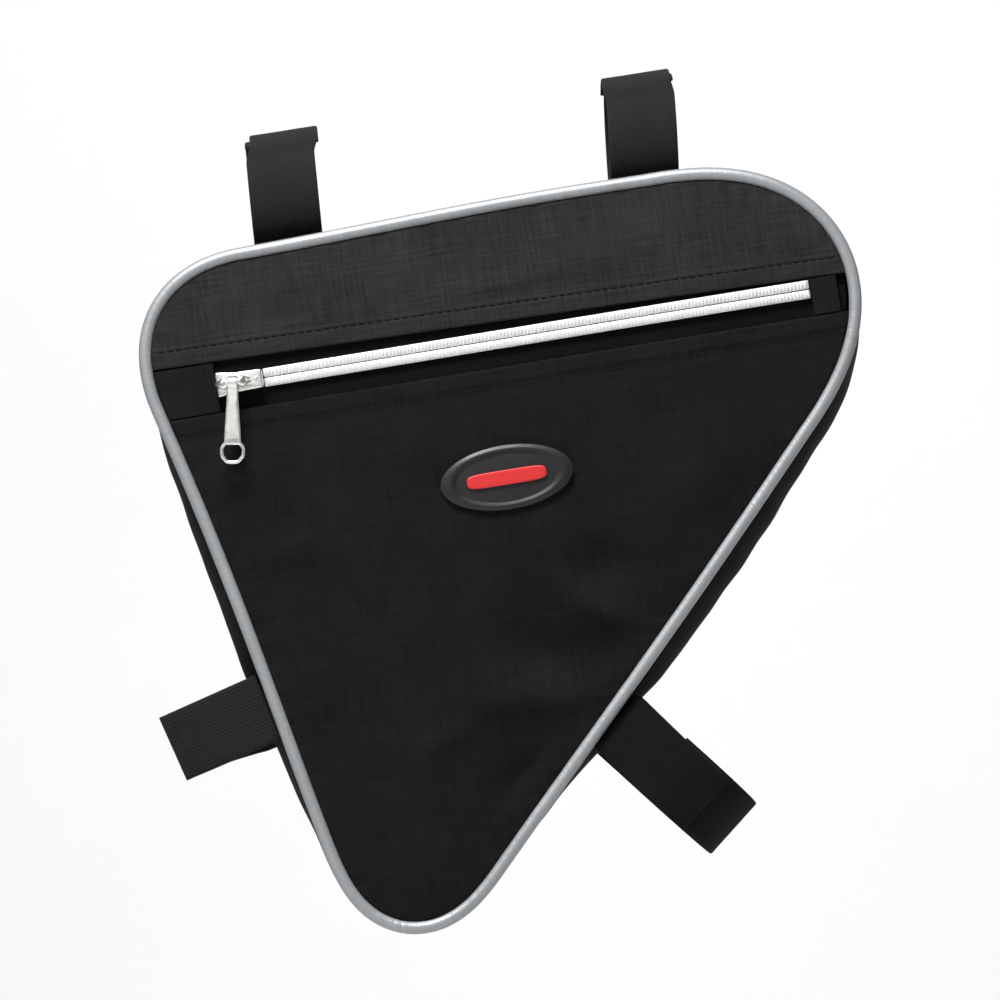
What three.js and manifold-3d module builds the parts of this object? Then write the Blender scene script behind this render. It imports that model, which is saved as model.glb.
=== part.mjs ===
// A triangular frame bag, in millimetres, with +Z up and its front facing -Y. It is built square to the line
// through the middles of its two top strap loops, x along that line and z across it, and turned by the line's
// slope at the end. The origin is on the line, midway between the two loops.
import * as THREE from "three";
import { mergeVertices } from "three/addons/utils/BufferGeometryUtils.js";
import Module from "manifold-3d";

const wasm = await Module();
wasm.setup();

// Cloth, cord and clearance
const clothWall = 1.5;
const strapWall = 1.7;
const tapeWall = 1;
const pipingDiameter = 4.8;
const gap = 0.3;

// The bag's outline, measured on the centre of its piping
const tubeSlope = 9.3;
const bagLength = 267.4;
const bagDrop = 262.9;
const bagDepth = 50;
const rearReach = 126.4;
const topDrop = 17;
const rearDip = 3;
const frontDip = 0.2;
const tipBehind = 52;
const rearRadius = 42;
const frontRadius = 60;
const tipRadius = 36.9;
const rearPoint = 0.05;
const frontPoint = 0.19;
const tipPoint = 0.196;

// How far the cloth stands out between its seams
const frontPuff = 6;
const backPuff = 5;
const gussetCrown = 9;

// The zip across the front
const zipDrop = 67.5;
const coilWidth = 6.8;
const coilProud = 0.6;
const coilEndInset = 16.8;
const tapeWidth = 32;
const hemClearRear = 6;
const hemClearFront = 0.5;
const foldClear = 7;
const frontPatchLength = 10;
const patchHeight = 16.2;

// The slider and its pull
const sliderInset = 33.4;
const sliderLength = 17.5;
const sliderNose = 9.6;
const sliderTail = 7;
const sliderHeight = 3.4;
const sliderCorner = 1;
const bridgeDiameter = 1.8;
const bridgeSpan = 12;
const bridgeBehind = 2.4;
const postLength = 2;
const eyeWidth = 3.6;
const eyeWall = 0.9;
const pullLength = 30.8;
const pullNeck = 4.2;
const pullFoot = 6.5;
const pullWall = 1.4;
const ringWidth = 9.8;
const ringHeight = 7.9;
const ringWire = 1.7;
const ringShoulder = 1;

// The rubber badge and the plain bar on it
const badgeLength = 50;
const badgeHeight = 24;
const badgeWall = 1.2;
const badgeRim = 0.9;
const badgeDrop = 119;
const barLength = 30;
const barHeight = 5.6;
const barWall = 0.8;

// The hook-and-loop straps, and the insides of their loops
const strapWidth = 26;
const seatWidth = 9;
const topTubeWidth = 38;
const topTubeHeight = 42;
const rearStrapBehind = 66.5;
const frontStrapAhead = 69.5;
const downTubeWidth = 51;
const downTubeHeight = 54;
const downTubeSlope = 38.6;
const downStrapShare = 0.655;
const tabShare = 0.319;
const tabLength = 35.6;
const tabShort = 3;

const pipingRadius = pipingDiameter / 2;
const halfDepth = bagDepth / 2;
const zipZ = -zipDrop;
const topZ = -topDrop;
const strapSeatZ = -topTubeHeight / 2 - strapWall - gap;
const radians = THREE.MathUtils.degToRad;
const mix = THREE.MathUtils.lerp;

// The three corners, going clockwise as seen from the front. Each is an arc whose middle stands out to a
// soft point, by a share of its radius, and pointReach is how much of that counts along x or z.
const pointReach = 0.85;
const corners = [
  { x: rearRadius - rearReach, z: topZ - rearDip - rearRadius, radius: rearRadius, point: rearPoint },
  {
    x: bagLength - rearReach - frontRadius * (1 + pointReach * frontPoint),
    z: topZ - frontDip - frontRadius,
    radius: frontRadius,
    point: frontPoint,
  },
  {
    x: -tipBehind,
    z: topZ - bagDrop + tipRadius * (1 + pointReach * tipPoint),
    radius: tipRadius,
    point: tipPoint,
  },
];

// The three sides between them: bow is how far a side curves out, as a share of its length, and rise and
// fall are the powers that shape the curve's start and end.
const sides = {
  top: { bow: 0.0066, rise: 2.2, fall: 1.3 },
  front: { bow: 0.0041, rise: 1.3, fall: 1.9 },
  rear: { bow: -0.0085, rise: 1.9, fall: 1.3 },
};

// How far the middle of the gusset stands out of the seam, as a share of gussetCrown, along each free side.
// It is flatter where the lower strap presses on it, and level with the piping at the tip.
const crowns = {
  front: [
    { along: 0, crown: 0.8 },
    { along: 0.25, crown: 1 },
    { along: 0.48, crown: 0.95 },
    { along: 0.66, crown: 0.62 },
    { along: 0.85, crown: 0.3 },
    { along: 1, crown: -0.1 },
  ],
  rear: [
    { along: 0, crown: 0.1 },
    { along: 0.17, crown: 0.45 },
    { along: 0.42, crown: 0.74 },
    { along: 0.67, crown: 0.66 },
    { along: 0.85, crown: 0.48 },
    { along: 1, crown: 0.15 },
  ],
};
const crownDelay = 1.4;

// Soft folds of the front: places as shares of bagLength and bagDrop, sizes as shares of bagLength,
// and rise as a share of frontPuff.
const folds = [
  { along: 0.02, down: 0.58, long: 0.1, wide: 0.065, turn: 20, rise: -0.5 },
  { along: -0.01, down: 0.68, long: 0.13, wide: 0.035, turn: -14, rise: 0.3 },
  { along: 0.13, down: 0.58, long: 0.09, wide: 0.035, turn: 68, rise: 0.28 },
  { along: -0.2, down: 0.36, long: 0.14, wide: 0.05, turn: -55, rise: -0.16 },
  { along: 0.3, down: 0.3, long: 0.12, wide: 0.05, turn: 40, rise: -0.14 },
];

const sideSteps = 13;
const arcSteps = 11;

// The value of a smooth curve through the rows of a table
function along(rows, column, share) {
  const next = Math.max(
    1,
    rows.findIndex((row) => row.along >= share),
  );
  const [a, b] = [rows[next - 1], rows[next]];
  const t = (share - a.along) / (b.along - a.along);
  return mix(a[column], b[column], THREE.MathUtils.smoothstep(t, 0, 1));
}

// The outward direction of the straight line that touches two corner arcs
function tangentNormal(from, to) {
  const across = new THREE.Vector2(to.x - from.x, to.z - from.z);
  const turn = Math.asin((from.radius - to.radius) / across.length());
  const way = across.clone().normalize();
  return new THREE.Vector2(-way.y, way.x)
    .multiplyScalar(Math.cos(turn))
    .addScaledVector(way, Math.sin(turn));
}

// The seam, as stations round the outline: a corner's arc, then the bowed side that follows it
function makeSeam() {
  const names = Object.keys(sides);
  const normals = corners.map((corner, i) =>
    tangentNormal(corner, corners[(i + 1) % corners.length]),
  );
  const stations = [];
  corners.forEach((corner, i) => {
    const last = (i + corners.length - 1) % corners.length;
    const start = normals[last].angle();
    const swing =
      (start - normals[i].angle() + 2 * Math.PI) % (2 * Math.PI);
    for (let k = 0; k < arcSteps; k++) {
      const angle = start - (swing * k) / arcSteps;
      const reach = corner.radius * (1 + corner.point * Math.sin((Math.PI * k) / arcSteps) ** 2);
      stations.push({
        x: corner.x + reach * Math.cos(angle),
        z: corner.z + reach * Math.sin(angle),
        between: [names[last], names[i]],
        share: k / arcSteps,
      });
    }
    const { bow, rise, fall } = sides[names[i]];
    const next = corners[(i + 1) % corners.length];
    const a = new THREE.Vector2(corner.x, corner.z).addScaledVector(normals[i], corner.radius);
    const b = new THREE.Vector2(next.x, next.z).addScaledVector(normals[i], next.radius);
    const peak = rise / (rise + fall);
    for (let k = 0; k < sideSteps; k++) {
      const share = k / sideSteps;
      const curve = (share / peak) ** rise * ((1 - share) / (1 - peak)) ** fall;
      const out = bow * a.distanceTo(b) * curve;
      const p = a.clone().lerp(b, share).addScaledVector(normals[i], out);
      stations.push({ x: p.x, z: p.y, side: names[i], share });
    }
  });
  const count = stations.length;
  stations.forEach((station, i) => {
    const before = stations[(i + count - 1) % count];
    const after = stations[(i + 1) % count];
    const length = Math.hypot(after.x - before.x, after.z - before.z);
    station.nx = (before.z - after.z) / length;
    station.nz = (after.x - before.x) / length;
  });
  return stations;
}

// How far the gusset's middle stands out at a station. Along the top it lies level with the strap seats.
function crownOf(station) {
  const sideCrown = (name, share, z) =>
    name === "top"
      ? strapSeatZ - gap - clothWall / 2 - z
      : gussetCrown * along(crowns[name], "crown", share);
  if (station.side) return sideCrown(station.side, station.share, station.z);
  const [before, after] = station.between;
  const firstZ = corners[0].z + corners[0].radius;
  const secondZ = corners[1].z + corners[1].radius;
  const ends = [
    sideCrown(before, 1, before === "top" ? secondZ : firstZ),
    sideCrown(after, 0, after === "top" ? firstZ : secondZ),
  ];
  return mix(ends[0], ends[1], THREE.MathUtils.smoothstep(station.share ** crownDelay, 0, 1));
}

const seam = makeSeam();
seam.forEach((station) => {
  station.crown = crownOf(station);
});

// The middle of the bag, from which every point of the seam can be seen
const middle = {
  x: corners.reduce((sum, corner) => sum + corner.x, 0) / corners.length,
  z: corners.reduce((sum, corner) => sum + corner.z, 0) / corners.length,
};

// How far out a point lies, from 0 at the bag's middle to 1 on the seam
function outwardShare(x, z) {
  const [px, pz] = [x - middle.x, z - middle.z];
  for (let i = 0; i < seam.length; i++) {
    const a = seam[i];
    const b = seam[(i + 1) % seam.length];
    const [ax, az] = [a.x - middle.x, a.z - middle.z];
    const [bx, bz] = [b.x - middle.x, b.z - middle.z];
    const whole = bx * az - bz * ax;
    const s = (px * az - pz * ax) / whole;
    const t = (bx * pz - bz * px) / whole;
    if (s >= -1e-9 && t >= -1e-9) return s + t;
  }
  return 1;
}

// The middle of the front cloth's wall: crowned between its seams, with the folds laid on it
function frontSkin(x, z) {
  const out = Math.min(1, outwardShare(x, z));
  const level = 1 - out ** 2.5;
  const fold = folds.reduce((sum, row) => {
    const dx = x - row.along * bagLength;
    const dz = z - (topZ - row.down * bagDrop);
    const [c, s] = [Math.cos(radians(row.turn)), Math.sin(radians(row.turn))];
    const a = (dx * c + dz * s) / (row.long * bagLength);
    const b = (dz * c - dx * s) / (row.wide * bagLength);
    return sum + row.rise * Math.exp(-2 * (a * a + b * b));
  }, 0);
  return -halfDepth - frontPuff * level * (1 + fold);
}

const backSkin = (x, z) =>
  halfDepth + clothWall / 2 + backPuff * (1 - Math.min(1, outwardShare(x, z)) ** 2.5);

// Positions alone, as a closed mesh
function geometryOf(positions) {
  return new THREE.BufferGeometry().setAttribute(
    "position",
    new THREE.Float32BufferAttribute(positions, 3),
  );
}

function toSolid(geometry) {
  const bare = new THREE.BufferGeometry().setAttribute(
    "position",
    (geometry.index ? geometry.toNonIndexed() : geometry).getAttribute("position"),
  );
  const merged = mergeVertices(bare, 1e-4);
  return new wasm.Manifold(
    new wasm.Mesh({
      numProp: 3,
      vertProperties: merged.attributes.position.array,
      triVerts: new Uint32Array(merged.index.array),
    }),
  );
}

function fromSolid(solid) {
  const { vertProperties, triVerts, numProp } = solid.getMesh();
  const positions = [];
  triVerts.forEach((vertex) => {
    positions.push(...vertProperties.subarray(vertex * numProp, vertex * numProp + 3));
  });
  return geometryOf(positions);
}

const join = (...geometries) =>
  fromSolid(geometries.map(toSolid).reduce((whole, piece) => whole.add(piece)));

// A flat mesh of rings of one closed edge, which runs anticlockwise as seen from the front
function disc(edge, centre, rings) {
  const points = [[centre.x, centre.z]];
  const faces = [];
  const count = edge.length;
  rings.forEach((share, r) => {
    edge.forEach(([x, z], i) => {
      points.push([mix(centre.x, x, share), mix(centre.z, z, share)]);
      const j = (i + 1) % count;
      const [a, b] = [1 + r * count + i, 1 + r * count + j];
      if (r === 0) faces.push([0, a, b]);
      else faces.push([a - count, a, b], [a - count, b, b - count]);
    });
  });
  const first = 1 + (rings.length - 1) * count;
  return { points, faces, rim: edge.map((_, i) => first + i) };
}

// A flat mesh of columns and rows, whose place(s, t) runs along x with s and up z with t
function sheet(place, columns, rows) {
  const points = [];
  const faces = [];
  const index = (i, j) => j * (columns + 1) + i;
  for (let j = 0; j <= rows; j++) {
    for (let i = 0; i <= columns; i++) {
      points.push(place(i / columns, j / rows));
      if (i < columns && j < rows) {
        faces.push([index(i, j), index(i + 1, j), index(i + 1, j + 1)]);
        faces.push([index(i, j), index(i + 1, j + 1), index(i, j + 1)]);
      }
    }
  }
  const rim = [];
  for (let i = 0; i < columns; i++) rim.push(index(i, 0));
  for (let j = 0; j < rows; j++) rim.push(index(columns, j));
  for (let i = columns; i > 0; i--) rim.push(index(i, rows));
  for (let j = rows; j > 0; j--) rim.push(index(0, j));
  return { points, faces, rim };
}

// A closed wall over a flat mesh, from the surface y = front(x, z) to y = back(x, z)
function thicken({ points, faces, rim }, front, back) {
  const positions = [];
  const near = points.map(([x, z]) => [x, front(x, z), z]);
  const far = points.map(([x, z]) => [x, back(x, z), z]);
  for (const [a, b, c] of faces) {
    positions.push(...near[a], ...near[b], ...near[c]);
    positions.push(...far[a], ...far[c], ...far[b]);
  }
  rim.forEach((i, k) => {
    const j = rim[(k + 1) % rim.length];
    positions.push(...near[j], ...near[i], ...far[i]);
    positions.push(...near[j], ...far[i], ...far[j]);
  });
  return geometryOf(positions);
}

// A closed ring that carries a section of [out, y] points round the seam
function sweepRound(sectionOf) {
  const rows = seam.map((station) =>
    sectionOf(station).map(([out, y]) => [
      station.x + station.nx * out,
      y,
      station.z + station.nz * out,
    ]),
  );
  const positions = [];
  rows.forEach((row, i) => {
    const after = rows[(i + 1) % rows.length];
    row.forEach((point, k) => {
      const l = (k + 1) % row.length;
      positions.push(...point, ...after[k], ...after[l]);
      positions.push(...point, ...after[l], ...row[l]);
    });
  });
  return geometryOf(positions);
}

// A plate of an (x, z) outline that stands out towards the front, from one height to another
function plate(shape, low, high) {
  return new THREE.ExtrudeGeometry(shape, {
    depth: high - low,
    bevelEnabled: false,
    curveSegments: 6,
  })
    .translate(0, 0, low)
    .rotateX(Math.PI / 2);
}

// A strap laid along a path of [y, z] points, with the width of its webbing along x
function webbing(path) {
  const offset = (side) =>
    path.map(([y, z], i) => {
      const [y0, z0] = path[Math.max(0, i - 1)];
      const [y1, z1] = path[Math.min(path.length - 1, i + 1)];
      const length = Math.hypot(y1 - y0, z1 - z0);
      const half = (side * strapWall) / 2;
      return new THREE.Vector2(y - ((z1 - z0) / length) * half, z + ((y1 - y0) / length) * half);
    });
  const shape = new THREE.Shape([...offset(1), ...offset(-1).reverse()]);
  const geometry = new THREE.ExtrudeGeometry(shape, {
    depth: strapWidth,
    bevelEnabled: false,
  });
  // The extrusion runs along z: turn it so that it runs along x, and its outline lies in y and z.
  return geometry
    .translate(0, 0, -strapWidth / 2)
    .applyMatrix4(new THREE.Matrix4().set(0, 0, 1, 0, 1, 0, 0, 0, 0, 1, 0, 0, 0, 0, 0, 1));
}

// A strap closed into a loop, sewn to the bag at the bottom of its loop. Angles run from there over the
// front: the rear half goes round the back to rearEnd, and the front half lies over it, to frontEnd.
function strapLoop({ width, height, frontEnd, rearEnd }) {
  const step = 9;
  const lapStart = 24;
  const path = [];
  for (let angle = rearEnd - 360; angle <= frontEnd; angle += step) {
    const lap =
      THREE.MathUtils.smoothstep(angle, rearEnd - lapStart, rearEnd - step / 2) * (strapWall + gap);
    const half = strapWall / 2 + lap;
    const y = -(width / 2 + half) * Math.sin(radians(angle));
    const z = -(height / 2 + half) * Math.cos(radians(angle));
    const onSeat = Math.abs(angle) < 90 && Math.abs(y) <= seatWidth / 2;
    if (!onSeat) path.push([y, z]);
    else if (path.at(-1)[1] !== -height / 2 - half) {
      path.push([seatWidth / 2, -height / 2 - half], [-seatWidth / 2, -height / 2 - half]);
    }
  }
  return webbing(path);
}

// The unfastened strap, pressed together into a tab: out is the way from the gusset, side the way across it
function strapTab() {
  const close = (strapWall + gap) / 2;
  const flare = seatWidth;
  const legs = [
    { out: 1, side: close },
    { out: 0.5, side: close },
    { out: 0.28, side: close * 1.1 },
    { out: 0.13, side: flare * 0.4 },
    { out: 0.04, side: flare * 0.85 },
  ];
  const base = strapWall / 2;
  const rearLeg = legs.map(({ out, side }) => [side, base + out * (tabLength - tabShort)]);
  const frontLeg = legs.map(({ out, side }) => [-side, base + out * tabLength]).reverse();
  return webbing([...rearLeg, [flare / 2, base], [-flare / 2, base], ...frontLeg]);
}

// The x of the seam at a height on the bag, at its rear or its front edge
function seamX(z, front) {
  const crossings = seam.flatMap((a, i) => {
    const b = seam[(i + 1) % seam.length];
    return a.z > z === b.z > z ? [] : [mix(a.x, b.x, (z - a.z) / (b.z - a.z))];
  });
  return front ? Math.max(...crossings) : Math.min(...crossings);
}

// Cloth and trim materials
const finish = (color, roughness, metalness = 0) =>
  new THREE.MeshStandardMaterial({ color, roughness, metalness });
const materials = {
  cloth: finish(0x1b1b1c, 0.85),
  piping: finish(0x9a9ca0, 0.45),
  strap: finish(0x232325, 0.9),
  tape: finish(0x151516, 0.9),
  coil: finish(0xd5d7da, 0.35, 0.3),
  metal: finish(0xc9c7c0, 0.25, 1),
  rubber: finish(0x1d1f20, 0.6),
  red: finish(0xc4242a, 0.5),
};

const bag = new THREE.Group();
function place(name, geometry, material, parent = bag) {
  geometry.computeVertexNormals();
  const mesh = new THREE.Mesh(geometry, material);
  mesh.name = name;
  parent.add(mesh);
  return mesh;
}

// The front cloth, cut along the zip into an upper and a lower panel
const panelInset = pipingRadius + gap;
const insideEdge = seam.map(({ x, z, nx, nz }) => [x - nx * panelInset, z - nz * panelInset]).reverse();
const frontRings = [0.2, 0.36, 0.5, 0.62, 0.73, 0.83, 0.92, 1];
const frontWall = toSolid(
  thicken(
    disc(insideEdge, middle, frontRings),
    (x, z) => frontSkin(x, z) - clothWall / 2,
    (x, z) => frontSkin(x, z) + clothWall / 2,
  ),
);
const hemRear = zipZ + coilWidth / 2 + hemClearRear;
const hemFront = zipZ + coilWidth / 2 + hemClearFront;
const foldZ = zipZ - coilWidth / 2 - foldClear;
const far = 2 * bagLength;
const hemSlope = (hemFront - hemRear) / bagLength;
const hemAt = (x) => hemRear + hemSlope * (x + rearReach);
const aboveHem = new THREE.Shape([
  new THREE.Vector2(-far, hemAt(-far)),
  new THREE.Vector2(far, hemAt(far)),
  new THREE.Vector2(far, far),
  new THREE.Vector2(-far, far),
]);
const belowFold = new THREE.Shape([
  new THREE.Vector2(-far, -2 * far),
  new THREE.Vector2(far, -2 * far),
  new THREE.Vector2(far, foldZ),
  new THREE.Vector2(-far, foldZ),
]);
const cutPanel = (shape) => fromSolid(frontWall.intersect(toSolid(plate(shape, -bagDepth, 2 * bagDepth))));
place("front_panel_upper", cutPanel(aboveHem), materials.cloth);
place("front_panel_lower", cutPanel(belowFold), materials.cloth);

// The back cloth, sewn flat over the gusset's edge
const backEdge = seam
  .map(({ x, z, nx, nz }) => [x + (nx * clothWall) / 2, z + (nz * clothWall) / 2])
  .reverse();
place(
  "back_panel",
  thicken(
    disc(backEdge, middle, [0.45, 0.75, 0.92, 1]),
    (x, z) => backSkin(x, z) - clothWall / 2,
    (x, z) => backSkin(x, z) + clothWall / 2,
  ),
  materials.cloth,
);

// The gusset, one band round the bag between the piping and the back
const gussetStart = pipingRadius + gap - halfDepth;
const gussetEnd = halfDepth - gap;
const gussetStep = 8;
place(
  "gusset",
  sweepRound(({ crown }) => {
    const outer = [];
    for (let k = 0; k <= gussetStep; k++) {
      const across = (2 * k) / gussetStep - 1;
      const out = clothWall / 2 + crown * (1 - Math.abs(across) ** 2.5);
      outer.push([out, mix(gussetStart, gussetEnd, k / gussetStep)]);
    }
    const inner = outer.map(([out, y]) => [out - clothWall, y]).reverse();
    return [...outer, ...inner];
  }),
  materials.cloth,
);

// The round piping in the front seam
const pipingSides = 10;
place(
  "piping",
  sweepRound(() =>
    Array.from({ length: pipingSides }, (_, k) => {
      const angle = (2 * Math.PI * k) / pipingSides;
      return [pipingRadius * Math.cos(angle), pipingRadius * Math.sin(angle) - halfDepth];
    }),
  ),
  materials.piping,
);

// The zip: two tapes behind the panels, a coil on each, and a square patch over each end
const zipColumns = 22;
const tapeFront = (x, z) => frontSkin(x, z) + clothWall / 2 + gap;
const tapeBack = (x, z) => tapeFront(x, z) + tapeWall;
const coilBack = (x, z) => tapeFront(x, z) - gap;
const coilFront = (x, z) => {
  const across = (Math.abs(z - zipZ) - coilWidth / 4) / (coilWidth / 4);
  return frontSkin(x, z) - clothWall / 2 - coilProud * (1 - across ** 2);
};
const coilFrontEnd = seamX(zipZ, true) - coilEndInset;
const sliderX = seamX(zipZ, false) + sliderInset;
const sliderRear = sliderX - sliderLength / 2;
const sliderFront = sliderX + sliderLength / 2;
for (const [name, side] of [
  ["upper", 1],
  ["lower", -1],
]) {
  const inside = zipZ + (side * gap) / 2;
  const [tapeLow, tapeHigh] = [inside, zipZ + (side * tapeWidth) / 2].sort((a, b) => a - b);
  const tape = sheet(
    (s, t) => {
      const z = mix(tapeLow, tapeHigh, t);
      return [mix(seamX(z, false) + panelInset, seamX(z, true) - panelInset, s), z];
    },
    zipColumns,
    2,
  );
  place(`zip_tape_${name}`, thicken(tape, tapeFront, tapeBack), materials.tape);
  const [coilLow, coilHigh] = [inside, zipZ + (side * coilWidth) / 2].sort((a, b) => a - b);
  const coil = sheet(
    (s, t) => [mix(sliderFront + gap, coilFrontEnd, s), mix(coilLow, coilHigh, t)],
    zipColumns,
    4,
  );
  place(`zip_coil_${name}`, thicken(coil, coilFront, coilBack), materials.coil);
}
const frontPatchStart = coilFrontEnd + gap;
for (const [name, spanAt] of [
  ["rear", (z) => [seamX(z, false) + panelInset, sliderRear - gap]],
  ["front", () => [frontPatchStart, frontPatchStart + frontPatchLength]],
]) {
  const low = Math.max(zipZ - patchHeight / 2, foldZ + gap);
  const high = Math.min(zipZ + patchHeight / 2, hemAt(spanAt(zipZ)[1]) - gap);
  const patch = sheet(
    (s, t) => {
      const z = mix(low, high, t);
      return [mix(...spanAt(z), s), z];
    },
    3,
    2,
  );
  const patchFront = (x, z) => frontSkin(x, z) - clothWall / 2;
  place(`zip_patch_${name}`, thicken(patch, patchFront, coilBack), materials.tape);
}

// The slider and its pull follow the slope of the cloth at the zip's rear end
const sliderEnds = [sliderRear, sliderFront].map((x) => frontSkin(x, zipZ));
const onZip = new THREE.Group();
onZip.position.set(sliderX, (sliderEnds[0] + sliderEnds[1]) / 2, zipZ);
onZip.rotation.z = Math.atan2(sliderEnds[1] - sliderEnds[0], sliderLength);
bag.add(onZip);

// The slider is a wedge that stands on the tapes, with a bridge bar along it
const sliderFoot = -clothWall / 2;
const eyeRadius = bridgeDiameter / 2 + 2 * gap + eyeWall;
const bridgeHeight = sliderHeight + eyeRadius + gap;
const wedge = new THREE.Shape();
wedge.moveTo(-sliderLength / 2, sliderCorner - sliderNose / 2);
wedge.quadraticCurveTo(-sliderLength / 2, -sliderNose / 2, sliderCorner - sliderLength / 2, -sliderNose / 2);
wedge.lineTo(0, -sliderTail / 2);
wedge.lineTo(sliderLength / 2, -sliderTail / 2);
wedge.lineTo(sliderLength / 2, sliderTail / 2);
wedge.lineTo(0, sliderTail / 2);
wedge.lineTo(sliderCorner - sliderLength / 2, sliderNose / 2);
wedge.quadraticCurveTo(-sliderLength / 2, sliderNose / 2, -sliderLength / 2, sliderNose / 2 - sliderCorner);
const bar = new THREE.CylinderGeometry(bridgeDiameter / 2, bridgeDiameter / 2, bridgeSpan, 12)
  .rotateZ(Math.PI / 2)
  .translate(-bridgeBehind, -bridgeHeight, 0);
const posts = [-1, 1].map((end) =>
  new THREE.BoxGeometry(postLength, bridgeHeight - sliderFoot, bridgeDiameter).translate(
    (end * (bridgeSpan - postLength)) / 2 - bridgeBehind,
    -(bridgeHeight + sliderFoot) / 2,
    0,
  ),
);
place(
  "zip_slider",
  join(plate(wedge, sliderFoot, sliderHeight), bar, ...posts),
  materials.metal,
  onZip,
);

// The pull, rolled round the bridge bar, hangs straight down on its own bar with a ring at its foot
const ringDrop = pullLength - ringHeight;
const stem = new THREE.Shape();
const stemTop = -eyeRadius + eyeWall / 2;
stem.moveTo(-pullNeck / 2, stemTop);
stem.lineTo(-pullFoot / 2, -ringDrop);
stem.quadraticCurveTo(-ringWidth / 2, -ringDrop - ringShoulder, -ringWidth / 2, -ringDrop - ringHeight / 2);
stem.quadraticCurveTo(-ringWidth / 2, -pullLength, 0, -pullLength);
stem.quadraticCurveTo(ringWidth / 2, -pullLength, ringWidth / 2, -ringDrop - ringHeight / 2);
stem.quadraticCurveTo(ringWidth / 2, -ringDrop - ringShoulder, pullFoot / 2, -ringDrop);
stem.lineTo(pullNeck / 2, stemTop);
const holeHalf = ringWidth / 2 - ringWire;
const holeTop = -ringDrop - ringShoulder;
const holeFoot = ringWire - pullLength;
const pullHole = new THREE.Path();
pullHole.moveTo(-holeHalf, holeTop);
pullHole.lineTo(holeHalf, holeTop);
pullHole.quadraticCurveTo(holeHalf, holeFoot, 0, holeFoot);
pullHole.quadraticCurveTo(-holeHalf, holeFoot, -holeHalf, holeTop);
stem.holes.push(pullHole);
const eyeShape = new THREE.Shape().absarc(0, 0, eyeRadius, 0, 2 * Math.PI);
eyeShape.holes.push(new THREE.Path().absarc(0, 0, eyeRadius - eyeWall, 0, 2 * Math.PI));
const eye = new THREE.ExtrudeGeometry(eyeShape, {
  depth: eyeWidth,
  bevelEnabled: false,
  curveSegments: 12,
})
  .translate(0, 0, -eyeWidth / 2)
  .rotateY(Math.PI / 2);
const pull = place(
  "zip_pull",
  join(plate(stem, -pullWall / 2, pullWall / 2), eye),
  materials.metal,
  onZip,
);
pull.position.set(-bridgeBehind, -bridgeHeight, 0);
pull.rotation.y = radians(tubeSlope);

// The oval rubber badge with its raised rim, and the plain bar on its face
const badgeCentre = { x: 0, z: -badgeDrop };
const ovalEdge = (length, height, count, power) =>
  Array.from({ length: count }, (_, k) => {
    const angle = (2 * Math.PI * k) / count;
    const round = (v) => Math.sign(v) * Math.abs(v) ** power;
    return [
      badgeCentre.x + (length / 2) * round(Math.cos(angle)),
      badgeCentre.z + (height / 2) * round(Math.sin(angle)),
    ];
  });
const badgeBack = (x, z) => frontSkin(x, z) - clothWall / 2 - gap;
const badgeFace = (x, z) => badgeBack(x, z) - badgeWall;
const badgeFront = (x, z) => {
  const out = Math.hypot(
    (x - badgeCentre.x) / (badgeLength / 2),
    (z - badgeCentre.z) / (badgeHeight / 2),
  );
  const rise = THREE.MathUtils.smoothstep(out, 0.76, 0.84) - THREE.MathUtils.smoothstep(out, 0.9, 1.02);
  return badgeFace(x, z) - badgeRim * rise;
};
place(
  "badge",
  thicken(
    disc(ovalEdge(badgeLength, badgeHeight, 28, 1), badgeCentre, [0.45, 0.76, 0.84, 0.91, 1]),
    badgeFront,
    badgeBack,
  ),
  materials.rubber,
);
place(
  "badge_bar",
  thicken(
    disc(ovalEdge(barLength, barHeight, 20, 0.55), badgeCentre, [0.5, 1]),
    (x, z) => badgeFace(x, z) - gap - barWall,
    (x, z) => badgeFace(x, z) - gap,
  ),
  materials.red,
);

// The two top straps
const topLoop = {
  width: topTubeWidth,
  height: topTubeHeight,
  frontEnd: 216,
  rearEnd: 153,
};
for (const [name, x] of [
  ["strap_top_rear", -rearStrapBehind],
  ["strap_top_front", frontStrapAhead],
]) {
  place(name, strapLoop(topLoop), materials.strap).position.x = x;
}

// The point on the outside of the gusset's middle at a share of a side, and the way out of the cloth there
function gussetPoint(side, share) {
  const crest = seam
    .filter((station) => station.side === side)
    .map(({ x, z, nx, nz, crown }) => {
      const out = crown + clothWall / 2;
      return new THREE.Vector2(x + nx * out, z + nz * out);
    });
  const crestAt = (step) => crest[Math.floor(step)].clone().lerp(crest[Math.floor(step) + 1], step % 1);
  const step = share * sideSteps;
  const seat = crestAt(step);
  const way = crestAt(step + 1).sub(crestAt(step - 1)).normalize();
  return { x: seat.x, z: seat.y, nx: -way.y, nz: way.x };
}

// The lower strap, sewn to the front side of the gusset
const downSeat = gussetPoint("front", downStrapShare);
const downReach = downTubeHeight / 2 + strapWall + 3 * gap;
const downTurn = Math.PI - radians(downTubeSlope);
const downStrap = place(
  "strap_down_tube",
  strapLoop({ width: downTubeWidth, height: downTubeHeight, frontEnd: 117, rearEnd: 72 }),
  materials.strap,
);
downStrap.position.set(
  downSeat.x + downReach * Math.sin(downTurn),
  0,
  downSeat.z + downReach * Math.cos(downTurn),
);
downStrap.rotation.y = downTurn;

// One unfastened strap, folded into a tab, on the rear side of the gusset
const tabSeat = gussetPoint("rear", tabShare);
const tab = place("strap_rear_tab", strapTab(), materials.strap);
tab.position.set(tabSeat.x + tabSeat.nx * 2 * gap, 0, tabSeat.z + tabSeat.nz * 2 * gap);
tab.rotation.y = Math.atan2(tabSeat.nx, tabSeat.nz);

bag.rotation.y = -radians(tubeSlope);

export default bag;
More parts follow.
